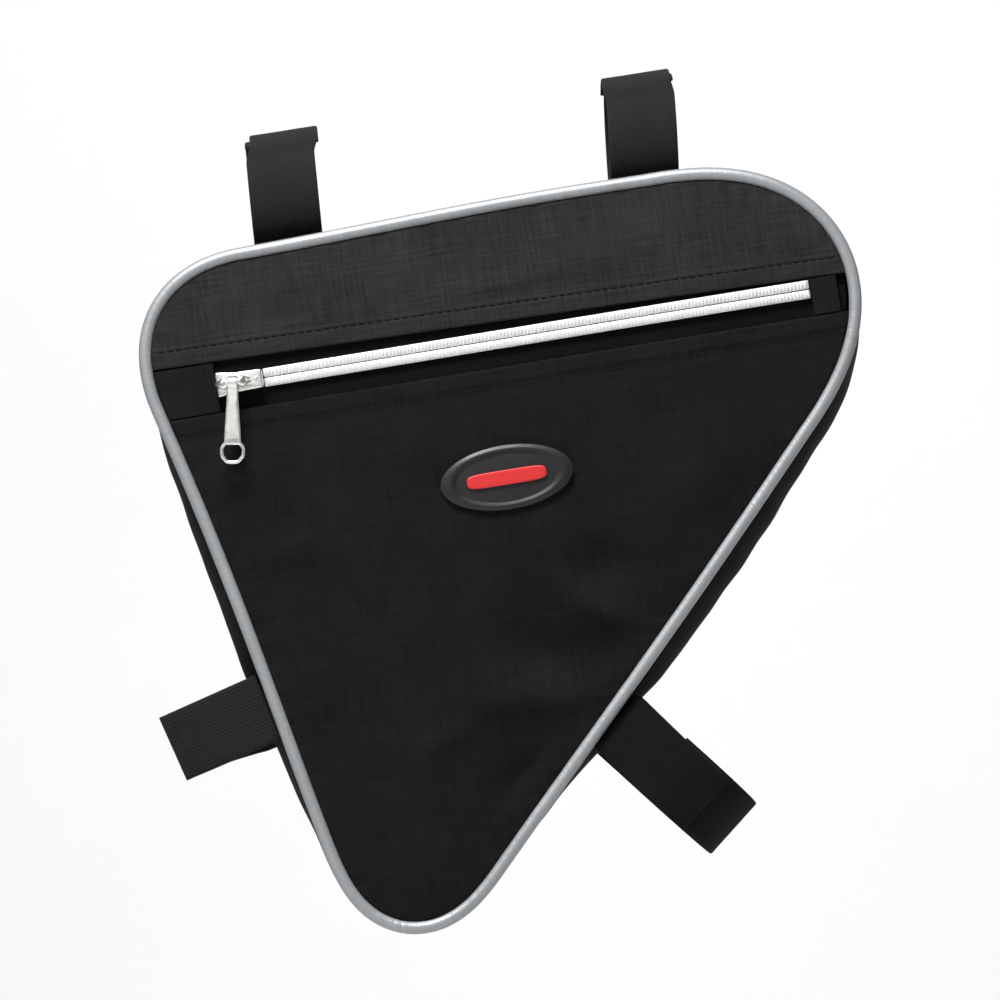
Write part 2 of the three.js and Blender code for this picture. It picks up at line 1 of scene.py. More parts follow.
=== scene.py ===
# %% [markdown]
# # A triangular frame bag
# The bag hangs by two strap loops on a sloping line, and a third loop holds it lower down.
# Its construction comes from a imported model: walls, zip, slider, pull, badge and straps, each at its real
# size. This lesson dresses that model. Every new piece is a surface worked out with numpy from the same
# named sizes, so that it lies exactly where its construction piece lies.

# %% Load the frame
import math
import bmesh
import bpy
import mathutils
import numpy as np
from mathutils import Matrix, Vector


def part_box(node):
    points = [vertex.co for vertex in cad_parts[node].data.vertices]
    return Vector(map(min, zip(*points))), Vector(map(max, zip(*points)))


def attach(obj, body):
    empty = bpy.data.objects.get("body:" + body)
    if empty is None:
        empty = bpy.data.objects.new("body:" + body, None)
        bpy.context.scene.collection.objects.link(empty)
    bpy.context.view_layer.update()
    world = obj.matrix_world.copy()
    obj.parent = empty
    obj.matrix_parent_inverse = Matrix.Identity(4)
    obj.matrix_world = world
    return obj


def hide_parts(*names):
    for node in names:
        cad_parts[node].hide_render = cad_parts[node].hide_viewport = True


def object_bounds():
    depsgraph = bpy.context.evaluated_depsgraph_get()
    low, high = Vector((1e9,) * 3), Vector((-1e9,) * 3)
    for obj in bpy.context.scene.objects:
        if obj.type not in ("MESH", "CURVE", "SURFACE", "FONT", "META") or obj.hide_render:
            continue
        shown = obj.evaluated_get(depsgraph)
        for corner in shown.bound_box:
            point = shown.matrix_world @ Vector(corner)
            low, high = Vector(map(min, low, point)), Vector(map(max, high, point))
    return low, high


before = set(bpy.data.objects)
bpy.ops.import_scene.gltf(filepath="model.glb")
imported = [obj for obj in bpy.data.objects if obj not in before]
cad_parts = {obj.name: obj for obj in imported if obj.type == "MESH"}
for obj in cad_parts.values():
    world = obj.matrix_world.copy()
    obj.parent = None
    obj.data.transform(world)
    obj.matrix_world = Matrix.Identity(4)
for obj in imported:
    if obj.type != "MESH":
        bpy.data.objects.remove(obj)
cad_low, cad_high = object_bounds()
print("construction box", [round(v, 4) for v in (*cad_low, *cad_high)])

# %% [markdown]
# ## Camera
# The photograph looks squarely at the side of the bag, from a few metres away and very slightly from below.
# A long lens aimed at the bag's middle keeps that flat view and lets the bag fill the picture.

# %% Camera
CAMERA_DISTANCE = 2.9
CAMERA_AZIMUTH = math.radians(-1.0)
CAMERA_ELEVATION = math.radians(-1.0)
PICTURE_HEIGHT = 0.378
SENSOR = 36.0

aim = (np.array(cad_low) + np.array(cad_high)) / 2
toward_camera = np.array([
    math.sin(CAMERA_AZIMUTH) * math.cos(CAMERA_ELEVATION),
    -math.cos(CAMERA_AZIMUTH) * math.cos(CAMERA_ELEVATION),
    math.sin(CAMERA_ELEVATION),
])
camera_data = bpy.data.cameras.new("camera")
camera_data.sensor_width = SENSOR
camera_data.lens = SENSOR * CAMERA_DISTANCE / PICTURE_HEIGHT
camera = bpy.data.objects.new("camera", camera_data)
bpy.context.scene.collection.objects.link(camera)
camera.location = aim + toward_camera * CAMERA_DISTANCE
camera.rotation_euler = (math.pi / 2 - CAMERA_ELEVATION, 0.0, CAMERA_AZIMUTH)
bpy.context.scene.camera = camera
print("lens", round(camera_data.lens, 1), "mm")

# %% [markdown]
# ## Sizes
# All lengths are in millimetres in the bag's own frame: x runs forwards along the line through the top
# loops, y goes into the bag and z is square to both. One turn by the line's slope puts a shape in the
# row's frame.

# %% Named sizes
MM = 0.001
HANG_SLOPE = math.radians(9.3)
CLOTH = 1.5
WEBBING = 1.7
PIPING_RADIUS = 2.4
GAP = 0.3
BAG_LENGTH = 267.4
BAG_DROP = 262.9
BAG_DEPTH = 50.0
REAR_REACH = 126.4
TOP_DROP = 17.0
FRONT_PUFF = 6.0
BACK_PUFF = 5.0
GUSSET_CROWN = 9.0
ZIP_Z = -67.5
COIL_WIDTH = 6.8
STRAP_WIDTH = 26.0
SEAT_WIDTH = 9.0
TOP_LOOP = {"width": 38.0, "height": 42.0}
LOWER_LOOP = {"width": 51.0, "height": 54.0}
LOWER_SLOPE = math.radians(38.6)


def turned(a, b, angle):
    """Two coordinates after a turn in their plane, from the first towards the second."""
    c, s = math.cos(angle), math.sin(angle)
    return a * c - b * s, a * s + b * c


def to_row(points):
    """Turns (x, y, z) in millimetres of the bag's own frame into metres in the row's frame."""
    x, y, z = np.moveaxis(np.asarray(points, float), -1, 0)
    x, z = turned(x, z, HANG_SLOPE)
    return np.stack([x, y, z], -1) * MM


def smooth(value, low, high):
    """0 below low, 1 above high, and a smooth cubic step between them."""
    t = np.clip((np.asarray(value, float) - low) / (high - low), 0, 1)
    return t * t * (3 - 2 * t)


def bump_at(distance, width):
    """A bell curve of a distance: 1 at 0, falling off over the width."""
    return np.exp(-(np.asarray(distance, float) / width) ** 2)


def round_edge(distance, radius):
    """The height of a quarter circle as a share of its radius: 0 at distance 0, 1 from the radius on."""
    edge = np.clip(distance / radius, 0, 1)
    return np.sqrt(edge * (2 - edge))


def run_along(path):
    """The length of a path up to each of its points."""
    return np.concatenate([[0], np.cumsum(np.linalg.norm(np.diff(path, axis=0), axis=1))])


def read_off(where, run, rows):
    """Rows of numbers at other places along their run."""
    return np.stack([np.interp(where, run, column) for column in rows.T], -1)


def smoothed(rows, window):
    """Rows of numbers after a moving mean with a window, which leaves out half of it at each end."""
    return np.stack([np.convolve(column, window / window.sum(), mode="valid") for column in rows.T], -1)


def uv_grid(along, across):
    """A UV for each crossing of a column of lengths and a row of widths."""
    return np.stack(np.broadcast_arrays(along[:, None], across), -1)


# %% [markdown]
# ## The outline
# The real bag is cut to a triangle with three round corners and nearly straight sides. Three arcs, each
# with its middle standing out to a soft point, and the sides between them give that cut. The whole line is
# then resampled so that its points lie evenly. Everything else is measured from this one line.

# %% The seam line
CORNERS = [  # radius, and how far the arc's middle stands out as a share of it
    {"radius": 42.0, "point": 0.05, "dip": 3.0},
    {"radius": 60.0, "point": 0.19, "dip": 0.2},
    {"radius": 36.9, "point": 0.196, "behind": 52.0},
]
POINT_REACH = 0.85
SIDES = [  # name, how far it curves out as a share of its length, powers that shape its start and end
    ("top", 0.0066, 2.2, 1.3),
    ("front", 0.0041, 1.3, 1.9),
    ("rear", -0.0085, 1.9, 1.3),
]
CROWNS = {  # how far the gusset stands out along a side, as shares of GUSSET_CROWN
    "front": ((0, 0.8), (0.25, 1), (0.48, 0.95), (0.66, 0.62), (0.85, 0.3), (1, 0.05)),
    "rear": ((0, 0.25), (0.17, 0.48), (0.42, 0.74), (0.67, 0.66), (0.85, 0.48), (1, 0.15)),
}
CROWN_DELAY = 1.4
FOLDS = [  # soft folds of the front: place, length and width as shares of the bag, turn, rise of the puff
    {"along": 0.02, "down": 0.58, "long": 0.1, "wide": 0.065, "turn": 20, "rise": -0.5},
    {"along": -0.01, "down": 0.68, "long": 0.13, "wide": 0.035, "turn": -14, "rise": 0.3},
    {"along": 0.13, "down": 0.58, "long": 0.09, "wide": 0.035, "turn": 68, "rise": 0.28},
    {"along": -0.2, "down": 0.36, "long": 0.14, "wide": 0.05, "turn": -55, "rise": -0.16},
    {"along": 0.3, "down": 0.3, "long": 0.12, "wide": 0.05, "turn": 40, "rise": -0.14},
]
STRAP_SEAT_Z = -TOP_LOOP["height"] / 2 - WEBBING - GAP
SEAM_COUNT = 840


def table_curve(rows, share):
    """A smooth curve through (place, value) rows: a cubic step from each value to the next."""
    places, values = np.array(rows, float).T
    k = np.clip(np.searchsorted(places, share, side="left"), 1, len(places) - 1)
    t = smooth(share, places[k - 1], places[k])
    return values[k - 1] * (1 - t) + values[k] * t


def corner_circles():
    """Rows of x, z, radius and point of the rear, the front and the tip, from the bag's reach and drop."""
    rear, front, tip = CORNERS
    reach = [corner["radius"] * (1 + POINT_REACH * corner["point"]) for corner in CORNERS]
    return [
        (rear["radius"] - REAR_REACH, -TOP_DROP - rear["dip"] - rear["radius"],
         rear["radius"], rear["point"]),
        (BAG_LENGTH - REAR_REACH - reach[1], -TOP_DROP - front["dip"] - front["radius"],
         front["radius"], front["point"]),
        (-tip["behind"], -TOP_DROP - BAG_DROP + reach[2], tip["radius"], tip["point"]),
    ]


def tangent_angle(a, b):
    """The outward direction of the line that touches two corner arcs: square to the line between their
    centres, turned by the arcsine of their difference in radius over its length."""
    dx, dz = b[0] - a[0], b[1] - a[1]
    return math.atan2(dz, dx) + math.pi / 2 - math.asin((a[2] - b[2]) / math.hypot(dx, dz))


def side_crown(name, share, z):
    """How far the gusset's middle stands out: level with the strap seats on top, by its table elsewhere."""
    if name == "top":
        return STRAP_SEAT_Z - GAP - CLOTH / 2 - z
    return GUSSET_CROWN * table_curve(CROWNS[name], share)


def seam_line(count):
    """Rows of x, z and crown round the seam: each corner's arc, then the side that follows it, whose points
    stand out of the straight line by a curve that rises to its peak and falls again."""
    circles = corner_circles()
    angles = [tangent_angle(circles[i], circles[(i + 1) % 3]) for i in range(3)]
    tops = [circle[1] + circle[2] for circle in circles]
    step = np.linspace(0, 1, 240, endpoint=False)
    rows = []
    for i, (name, bow, rise, fall) in enumerate(SIDES):
        x, z, radius, point = circles[i]
        start = angles[i - 1]
        turn = start - (start - angles[i]) % (2 * math.pi) * step
        arc = radius * (1 + point * np.sin(math.pi * step) ** 2)
        first = side_crown(SIDES[i - 1][0], 1.0, tops[1])
        second = side_crown(name, 0.0, tops[0])
        arc_crown = first + (second - first) * smooth(step ** CROWN_DELAY, 0, 1)
        rows.append(np.stack([x + arc * np.cos(turn), z + arc * np.sin(turn), arc_crown], -1))
        nx, nz = math.cos(angles[i]), math.sin(angles[i])
        next_x, next_z, next_radius, _ = circles[(i + 1) % 3]
        start_x, start_z = x + nx * radius, z + nz * radius
        run_x, run_z = next_x + nx * next_radius - start_x, next_z + nz * next_radius - start_z
        peak = rise / (rise + fall)
        curve = (step / peak) ** rise * ((1 - step) / (1 - peak)) ** fall
        out = bow * math.hypot(run_x, run_z) * curve
        side_x, side_z = start_x + run_x * step + nx * out, start_z + run_z * step + nz * out
        rows.append(np.stack([side_x, side_z, side_crown(name, step, side_z)], -1))
    line = np.concatenate(rows)
    closed = np.vstack([line, line[:1]])
    run = run_along(closed[:, :2])
    return read_off(np.linspace(0, run[-1], count, endpoint=False), run, closed), run[-1]


seam, SEAM_LENGTH = seam_line(SEAM_COUNT)
seam_way = np.roll(seam[:, :2], -3, 0) - np.roll(seam[:, :2], 3, 0)
seam_way /= np.linalg.norm(seam_way, axis=1)[:, None]
seam_out = np.stack([-seam_way[:, 1], seam_way[:, 0]], -1)
seam_run = np.arange(SEAM_COUNT) * SEAM_LENGTH / SEAM_COUNT
print("seam", round(SEAM_LENGTH), "mm round")
check_low, check_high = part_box("piping")
drawn = to_row(np.insert(seam[:, :2] + seam_out * PIPING_RADIUS, 1, -BAG_DEPTH / 2, axis=1))
print("piping box against the seam line, mm:",
      np.round((np.array(check_high - check_low) - np.ptp(drawn, axis=0)) / MM, 2))

# %% [markdown]
# ## How a surface becomes a mesh
# A shape here is an array of points over two parameters. One helper puts such a grid into a mesh, joins it
# where it closes on itself, and stores the two parameters as a UV map in metres of real cloth, so that a
# weave has the same size on every piece. A Solidify modifier finishes it where the real wall shows its
# edge.

# %% Mesh helpers
WELD_DISTANCE = 2e-6


def new_mesh(name, points, faces, uv=None):
    """A smooth mesh object from points in the row's frame, faces with equal corners, and a UV per point."""
    mesh = bpy.data.meshes.new(name)
    faces = np.asarray(faces)
    corners = faces.shape[1]
    mesh.vertices.add(len(points))
    mesh.vertices.foreach_set("co", np.asarray(points, np.float32).ravel())
    mesh.loops.add(faces.size)
    mesh.loops.foreach_set("vertex_index", faces.astype(np.int32).ravel())
    mesh.polygons.add(len(faces))
    mesh.polygons.foreach_set("loop_start", np.arange(0, faces.size, corners, dtype=np.int32))
    mesh.update(calc_edges=True)
    if uv is not None:
        layer = mesh.uv_layers.new(name="cloth")
        layer.data.foreach_set("uv", np.asarray(uv, np.float32)[faces.ravel()].ravel())
    mesh.polygons.foreach_set("use_smooth", np.ones(len(faces), bool))
    piece = bpy.data.objects.new(name, mesh)
    bpy.context.scene.collection.objects.link(piece)
    return piece


def weld(piece, outwards=False):
    """Joins points that lie on each other, as at a pole or where a grid meets itself, and drops the faces
    that vanish there. A closed shape can have its normals turned outwards as well."""
    work = bmesh.new()
    work.from_mesh(piece.data)
    bmesh.ops.remove_doubles(work, verts=work.verts, dist=WELD_DISTANCE)
    bmesh.ops.dissolve_degenerate(work, edges=work.edges, dist=WELD_DISTANCE / 4)
    if outwards:
        bmesh.ops.recalc_face_normals(work, faces=work.faces)
    work.to_mesh(piece.data)
    work.free()
    piece.data.polygons.foreach_set("use_smooth", np.ones(len(piece.data.polygons), bool))
    return piece


def grid_faces(rows, columns):
    """The quads of a grid of points numbered row by row."""
    i, j = np.meshgrid(np.arange(rows - 1), np.arange(columns - 1), indexing="ij")
    first = (i * columns + j).ravel()
    return np.stack([first, first + columns, first + columns + 1, first + 1], -1)


def repeated_faces(count, rows, columns):
    """The quads of many equal grids whose points follow each other."""
    first = np.arange(count)[:, None, None] * rows * columns
    return (grid_faces(rows, columns)[None] + first).reshape(-1, 4)


def surface(name, points, uv=None, closed=False):
    """A mesh of a rows by columns grid of points in the bag's frame. A grid that closes repeats its first
    line as its last, so that the UVs, in millimetres of cloth, can run on; the weld then joins the two."""
    rows, columns = points.shape[:2]
    faces = grid_faces(rows, columns)
    if uv is None:
        uv = np.stack([points[..., 0], points[..., 2]], -1)
    piece = new_mesh(name, to_row(points).reshape(-1, 3), faces, np.reshape(uv, (-1, 2)) * MM)
    return weld(piece, outwards=closed)


def join_pieces(name, pieces):
    """One mesh object from several, each kept as its own shell."""
    with bpy.context.temp_override(
            active_object=pieces[0], selected_editable_objects=pieces, object=pieces[0]):
        bpy.ops.object.join()
    pieces[0].name = name
    return pieces[0]


def give_wall(piece, thickness):
    """A wall for an open sheet of cloth: it grows behind the face that the grid describes."""
    wall = piece.modifiers.new("wall", "SOLIDIFY")
    wall.thickness = thickness * MM
    wall.offset = -1.0
    wall.use_even_offset = False
    return piece


def face_away(piece, middle):
    """Flips a sheet whose faces look the wrong way from a middle point, so that they look outwards."""
    faces = piece.data.polygons
    centre = np.empty(len(faces) * 3)
    normal = np.empty(len(faces) * 3)
    faces.foreach_get("center", centre)
    faces.foreach_get("normal", normal)
    away = (centre.reshape(-1, 3) - np.asarray(middle)) * normal.reshape(-1, 3)
    if away.sum() < 0:
        piece.data.flip_normals()
    return piece


def finish_piece(piece, material, slot, body, *nodes):
    """Gives a piece its material, its body and the construction nodes that it stands for. The slot argument
    is not used.
    """
    piece.data.materials.clear()
    piece.data.materials.append(material)
    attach(piece, body)
    if nodes:
        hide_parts(*nodes)
    return piece


# %% [markdown]
# ## Shader arithmetic
# A woven cloth, a brushed slider and a rubber badge are all sums of a few patterns. Writing those sums as
# Python expressions keeps them readable, so one small class stands for a socket and adds a Math node for
# each operator.

# %% Shader helpers
class Value:
    """A number socket of a material that can be added, subtracted and multiplied in Python."""

    def __init__(self, finish, socket):
        self.finish, self.socket = finish, socket

    def __add__(self, other):
        return self.finish.math("ADD", self, other)

    __radd__ = __add__

    def __mul__(self, other):
        return self.finish.math("MULTIPLY", self, other)

    def __sub__(self, other):
        return self.finish.math("SUBTRACT", self, other)

    def __rsub__(self, other):
        return self.finish.math("SUBTRACT", other, self)

    def __abs__(self):
        return self.finish.math("ABSOLUTE", self)


class Finish:
    """One material: its nodes come from one method, and its Principled shader is filled in at the end."""

    def __init__(self, name):
        self.material = bpy.data.materials.new(name)
        self.material.use_nodes = True
        self.tree = self.material.node_tree
        self.shader = self.tree.nodes["Principled BSDF"]

    def node(self, kind, settings=(), **values):
        """Adds a node, applies its settings first, then fills its named sockets."""
        made = self.tree.nodes.new(kind)
        for name, value in dict(settings).items():
            setattr(made, name, value)
        for name, value in values.items():
            self.put(made.inputs[name.replace("_", " ")], value)
        return made

    def put(self, socket, value):
        """Links a value or a socket to an input, or sets the input to a constant."""
        if isinstance(value, Value):
            value = value.socket
        if isinstance(value, bpy.types.NodeSocket):
            self.tree.links.new(value, socket)
        else:
            socket.default_value = value

    def math(self, operation, first, second=None, clamp=False):
        """The value of one Math node."""
        made = self.node("ShaderNodeMath", {"operation": operation, "use_clamp": clamp})
        self.put(made.inputs[0], first)
        if second is not None:
            self.put(made.inputs[1], second)
        return Value(self, made.outputs[0])

    def sine(self, value):
        return self.math("SINE", value)

    def clamp(self, value):
        """A value kept between 0 and 1."""
        return self.math("ADD", value, 0.0, clamp=True)

    def place(self, scale=(1, 1, 1)):
        """Object coordinates, scaled."""
        coordinates = self.node("ShaderNodeTexCoord").outputs["Object"]
        return self.node("ShaderNodeMapping", {}, Vector=coordinates, Scale=scale).outputs[0]

    def cloth_uv(self):
        """The piece's own two parameters, in metres of cloth."""
        parts = self.node("ShaderNodeSeparateXYZ", {},
                          Vector=self.node("ShaderNodeUVMap", {"uv_map": "cloth"}).outputs[0])
        return Value(self, parts.outputs[0]), Value(self, parts.outputs[1])

    def uv_place(self, scale):
        """The UV map as a vector, scaled, so that a pattern can be stretched along or across the cloth."""
        return self.node("ShaderNodeMapping", {}, Vector=self.node(
            "ShaderNodeUVMap", {"uv_map": "cloth"}).outputs[0], Scale=scale).outputs[0]

    def noise(self, size, detail=3.0, rough=0.55, vector=None):
        """Noise whose lumps are about size metres across, from 0 to 1."""
        made = self.node("ShaderNodeTexNoise", {"noise_dimensions": "3D"}, Scale=1 / size,
                         Detail=detail, Roughness=rough, Vector=vector or self.place())
        return Value(self, made.outputs[0])

    def mix(self, share, first, second):
        """A colour between two colours."""
        made = self.node("ShaderNodeMix", {"data_type": "RGBA"})
        self.put(made.inputs[0], share)
        self.put(made.inputs[6], first)
        self.put(made.inputs[7], second)
        return made.outputs[2]

    def relief(self, *layers):
        """Bump nodes one on another, from (height, depth in metres) pairs."""
        normal = None
        for height, depth in layers:
            bump = self.node("ShaderNodeBump", {}, Strength=1.0, Distance=depth, Height=height)
            if normal is not None:
                self.put(bump.inputs["Normal"], normal)
            normal = bump.outputs[0]
        self.put(self.shader.inputs["Normal"], normal)

    def done(self, **inputs):
        """Fills the Principled shader's inputs and gives the finished material."""
        for name, value in inputs.items():
            self.put(self.shader.inputs[name.replace("_", " ")], value)
        return self.material


def grey(level):
    """A neutral colour of a brightness."""
    return (level, level, level, 1.0)


# %% [markdown]
# ## The two faces of the bag
# The bag is a flat triangle of cloth with round corners. Its front is two panels that meet at the zip, and
# a thin bag never stays flat: the cloth swells a little between its seams and sags into folds. One function
# of the place on the face gives that swelling and the folds, and everything that is sewn to the face, the
# tapes, the coil, the patches and the badge, asks the same function where the cloth is.

# %% The skin of the front and of the back
SWELL_POWER = 2.5
MIDDLE = np.array(corner_circles())[:, :2].mean(axis=0)
bag_middle = to_row([MIDDLE[0], 0, MIDDLE[1]])
SEAM_ANGLE = np.arctan2(seam[:, 1] - MIDDLE[1], seam[:, 0] - MIDDLE[0])
SEAM_REACH = np.hypot(seam[:, 0] - MIDDLE[0], seam[:, 1] - MIDDLE[1])


def share_out(x, z):
    """How far a place is from the middle of the bag towards its seam, 0 to 1, along its own ray."""
    dx, dz = x - MIDDLE[0], z - MIDDLE[1]
    angle = np.arctan2(dz, dx)
    order = np.argsort(SEAM_ANGLE)
    reach = np.interp(angle, SEAM_ANGLE[order], SEAM_REACH[order], period=2 * np.pi)
    return np.minimum(np.hypot(dx, dz) / reach, 1.0)


def hills(x, z, rows):
    """The sum of long low hills. Each is its rise times exp(-2 d ** 2), where d is the distance from its
    middle, counted in its own length and width after a turn."""
    height = np.zeros(np.broadcast(x, z).shape)
    for row in rows:
        along, across = turned(x - row["x"], z - row["z"], -math.radians(row["turn"]))
        reach = (along / row["long"]) ** 2 + (across / row["wide"]) ** 2
        height = height + row["rise"] * np.exp(-2 * reach)
    return height


def fold_height(x, z):
    """The folds at a place, as a share of the puff there."""
    return hills(x, z, [
        {"x": fold["along"] * BAG_LENGTH, "z": -TOP_DROP - fold["down"] * BAG_DROP,
         "long": fold["long"] * BAG_LENGTH, "wide": fold["wide"] * BAG_LENGTH,
         "turn": fold["turn"], "rise": fold["rise"]} for fold in FOLDS])


def swell(x, z):
    """How much of the puff the cloth has at a place: 1 in the middle, falling to 0 at the seam."""
    return 1 - share_out(x, z) ** SWELL_POWER


def front_skin(x, z):
    """The middle of the front cloth: its seam's depth, less a puff that fades to the seam, with folds."""
    return -BAG_DEPTH / 2 - FRONT_PUFF * swell(x, z) * (1 + fold_height(x, z))


def back_skin(x, z):
    """The middle of the back cloth, which swells the other way without folds."""
    return BAG_DEPTH / 2 + CLOTH / 2 + BACK_PUFF * swell(x, z)


across = np.linspace(-110, 130, 9)
print("front cloth at 90 mm down:", front_skin(across, np.full(9, -90.0)).round(1))


def to_seam(x, z):
    """For each place: how far inside the seam it is, and where along the seam its nearest point lies."""
    places = np.stack([np.ravel(x), np.ravel(z)], -1)
    nearest = np.concatenate([
        np.argmin(((chunk[:, None] - seam[None, :, :2]) ** 2).sum(-1), axis=1)
        for chunk in np.array_split(places, max(1, len(places) // 4000))])
    offset = places - seam[nearest, :2]
    inside = -(offset * seam_out[nearest]).sum(-1)
    run = seam_run[nearest] + (offset * seam_way[nearest]).sum(-1)
    return inside.reshape(np.shape(x)), run.reshape(np.shape(x))


def ripple(run, pitch, seed=0.0):
    """An uneven wave along a seam, between -1 and 1: two sines whose beat hides the repeat."""
    turn = 2 * np.pi * run / pitch
    fast = np.sin(turn + seed + 1.3 * np.sin(turn * 0.137 + seed))
    return 0.6 * fast + 0.4 * np.sin(turn * 0.631 + 2 * seed)


def slack(x, z, size, seed=0.0):
    """Soft unevenness of loose cloth, about -1 to 1: three crossed sines, each bent by another."""
    u, v = x / size, z / size
    return (np.sin(u * 1.9 + 1.1 * np.sin(v * 1.3 + seed) + seed)
            + np.sin(v * 2.3 + 1.2 * np.sin(u * 0.9 + 2 * seed))
            + np.sin((u + v) * 1.4 + 0.8 * np.sin((u - v) * 1.7 + seed))) / 3


# %% [markdown]
# ## Finishes
# The whole bag is black, so its finishes differ by how they scatter light. The cloth is a plain weave of
# flat polyester yarn: threads that go over and under each other, a few of them thicker, and a faint sheen.
# The weave is read from each piece's own UVs, which are millimetres of cloth, so it bends with the piece.

# %% Woven cloth
WEAVE_PITCH = 0.00075


def woven(name, dark, light, pitch, relief, roughness, sheen, streak=1.0):
    """A plain weave: the squares of two sines are the two sets of threads, and the size of the product of
    two slower sines lifts the places where one goes over the other. Noise drawn out along each set gives
    the thicker threads."""
    cloth = Finish(name)
    u, v = cloth.cloth_uv()
    turn = 2 * math.pi / pitch
    warp = cloth.sine(u * turn)
    weft = cloth.sine(v * turn)
    over = cloth.sine(u * (turn / 2)) * cloth.sine(v * (turn / 2))
    threads = (warp * warp + weft * weft) * 0.35 + abs(over) * 0.3
    slub_u = cloth.noise(0.0011, detail=2.0, vector=cloth.uv_place((1, 0.06, 1)))
    slub_v = cloth.noise(0.0011, detail=2.0, vector=cloth.uv_place((0.06, 1, 1)))
    slubs = (slub_u + slub_v) * 0.5
    patches = cloth.noise(0.03, detail=2.0)
    shade = cloth.clamp((slubs - 0.5) * (2.1 * streak) + (patches - 0.5) * 0.8 + threads * 0.25 + 0.4)
    cloth.relief((threads + slubs * 0.8, relief))
    return cloth.done(
        Base_Color=cloth.mix(shade, dark, light),
        Roughness=roughness - threads * 0.08,
        Sheen_Weight=sheen, Sheen_Roughness=0.45, Sheen_Tint=(0.8, 0.85, 0.9, 1),
        Specular_IOR_Level=0.07)


bag_cloth = woven("bag cloth", grey(0.0038), grey(0.012), WEAVE_PITCH, 0.00018, 0.7, 0.0)
# The upper panel's copy of the cloth is lighter than the lower one: painted light, for the panel catching
# more of the light from above.
lit_upper_cloth = woven("lit upper cloth", grey(0.01), grey(0.032), WEAVE_PITCH, 0.00018, 0.72, 0.0)
back_cloth = woven("back cloth", grey(0.005), grey(0.017), WEAVE_PITCH, 0.00016, 0.72, 0.0)
zip_tape = woven("zip tape", grey(0.002), grey(0.006), 0.0005, 0.0001, 0.85, 0.03, streak=0.5)
print("weave pitch", WEAVE_PITCH / MM, "mm")

# %% [markdown]
# ## Trim finishes
# The piping is a reflective grey film over cord, slightly wrinkled round the bends. The strap webbing is
# brushed, so it is all fibre and no gloss. The slider is plated, and the badge is satin rubber.

# %% Piping, straps, coil, metal, rubber, red and thread
def piping_finish():
    """Grey film with fine beads in it, creased along the cord and a little grimy."""
    film = Finish("piping film")
    creases = film.noise(0.0016, detail=2.0, vector=film.uv_place((1, 0.12, 1)))
    grime = film.noise(0.02, detail=3.0)
    beads = film.noise(0.00035, detail=1.0)
    film.relief((creases, 0.00022), (beads, 0.00004))
    shade = film.clamp(creases * 0.5 + grime * 0.5)
    return film.done(
        Base_Color=film.mix(shade, (0.27, 0.28, 0.29, 1), (0.43, 0.445, 0.46, 1)),
        Roughness=0.44 + grime * 0.12, Metallic=0.5, Specular_IOR_Level=0.6)


def webbing_finish(name, dark, light):
    """Ribs along the strap and picks across it, under a brushed fuzz."""
    strap = Finish(name)
    along, across = strap.cloth_uv()
    ribs = strap.sine(across * (2 * math.pi / 0.0013))
    picks = strap.sine(along * (2 * math.pi / 0.0009))
    fuzz = strap.noise(0.0005, detail=4.0, rough=0.7)
    worn = strap.noise(0.012, detail=3.0)
    strap.relief((ribs * 0.5 + picks * 0.25, 0.00012), (fuzz, 0.0005))
    shade = strap.clamp(fuzz * 0.7 + ribs * 0.12 + worn * 0.35 - 0.05)
    return strap.done(
        Base_Color=strap.mix(shade, dark, light),
        Roughness=0.92, Sheen_Weight=0.06, Sheen_Roughness=0.6, Sheen_Tint=(0.7, 0.72, 0.75, 1),
        Specular_IOR_Level=0.08)


def coil_finish():
    """Silver plastic wire, brighter and duller by turns."""
    coil = Finish("zip coil")
    tarnish = coil.noise(0.004, detail=3.0)
    return coil.done(
        Base_Color=coil.mix(tarnish, (0.72, 0.73, 0.75, 1), (0.9, 0.91, 0.92, 1)),
        Roughness=0.26 + tarnish * 0.12, Metallic=0.25, Specular_IOR_Level=0.6)


def plated_finish():
    """Bright plating with fine marks of polishing and softer ones of handling."""
    metal = Finish("plated metal")
    polish = metal.noise(0.0006, detail=3.0, vector=metal.place((1, 1, 0.15)))
    handling = metal.noise(0.004, detail=3.0)
    metal.relief((polish, 0.00003), (handling, 0.00012))
    return metal.done(
        Base_Color=metal.mix(handling, (0.82, 0.81, 0.78, 1), (0.93, 0.92, 0.9, 1)),
        Roughness=0.2 + handling * 0.12, Metallic=0.95)


def rubber_finish():
    """Satin black rubber with a fine grain and a little dust."""
    rubber = Finish("badge rubber")
    grain = rubber.noise(0.0004, detail=3.0)
    dust = rubber.noise(0.006, detail=4.0)
    rubber.relief((grain, 0.00005), (dust, 0.0001))
    return rubber.done(
        Base_Color=rubber.mix(dust, grey(0.008), grey(0.017)),
        Roughness=0.36 + dust * 0.16, Coat_Weight=0.1, Coat_Roughness=0.3, Specular_IOR_Level=0.35)


def red_finish():
    """The plain red bar's even, slightly grained colour."""
    red = Finish("red inlay")
    grain = red.noise(0.0007, detail=3.0)
    red.relief((grain, 0.00006))
    return red.done(
        Base_Color=red.mix(grain, (0.5, 0.012, 0.016, 1), (0.68, 0.028, 0.03, 1)), Roughness=0.45)


def thread_finish():
    """Black thread whose ply winds round it."""
    thread = Finish("sewing thread")
    along, around = thread.cloth_uv()
    ply = thread.sine((along + around) * (2 * math.pi / 0.0006))
    thread.relief((ply, 0.00006))
    return thread.done(Base_Color=thread.mix(thread.clamp(ply * 0.5 + 0.5), grey(0.002), grey(0.008)),
                       Roughness=0.7, Specular_IOR_Level=0.15)


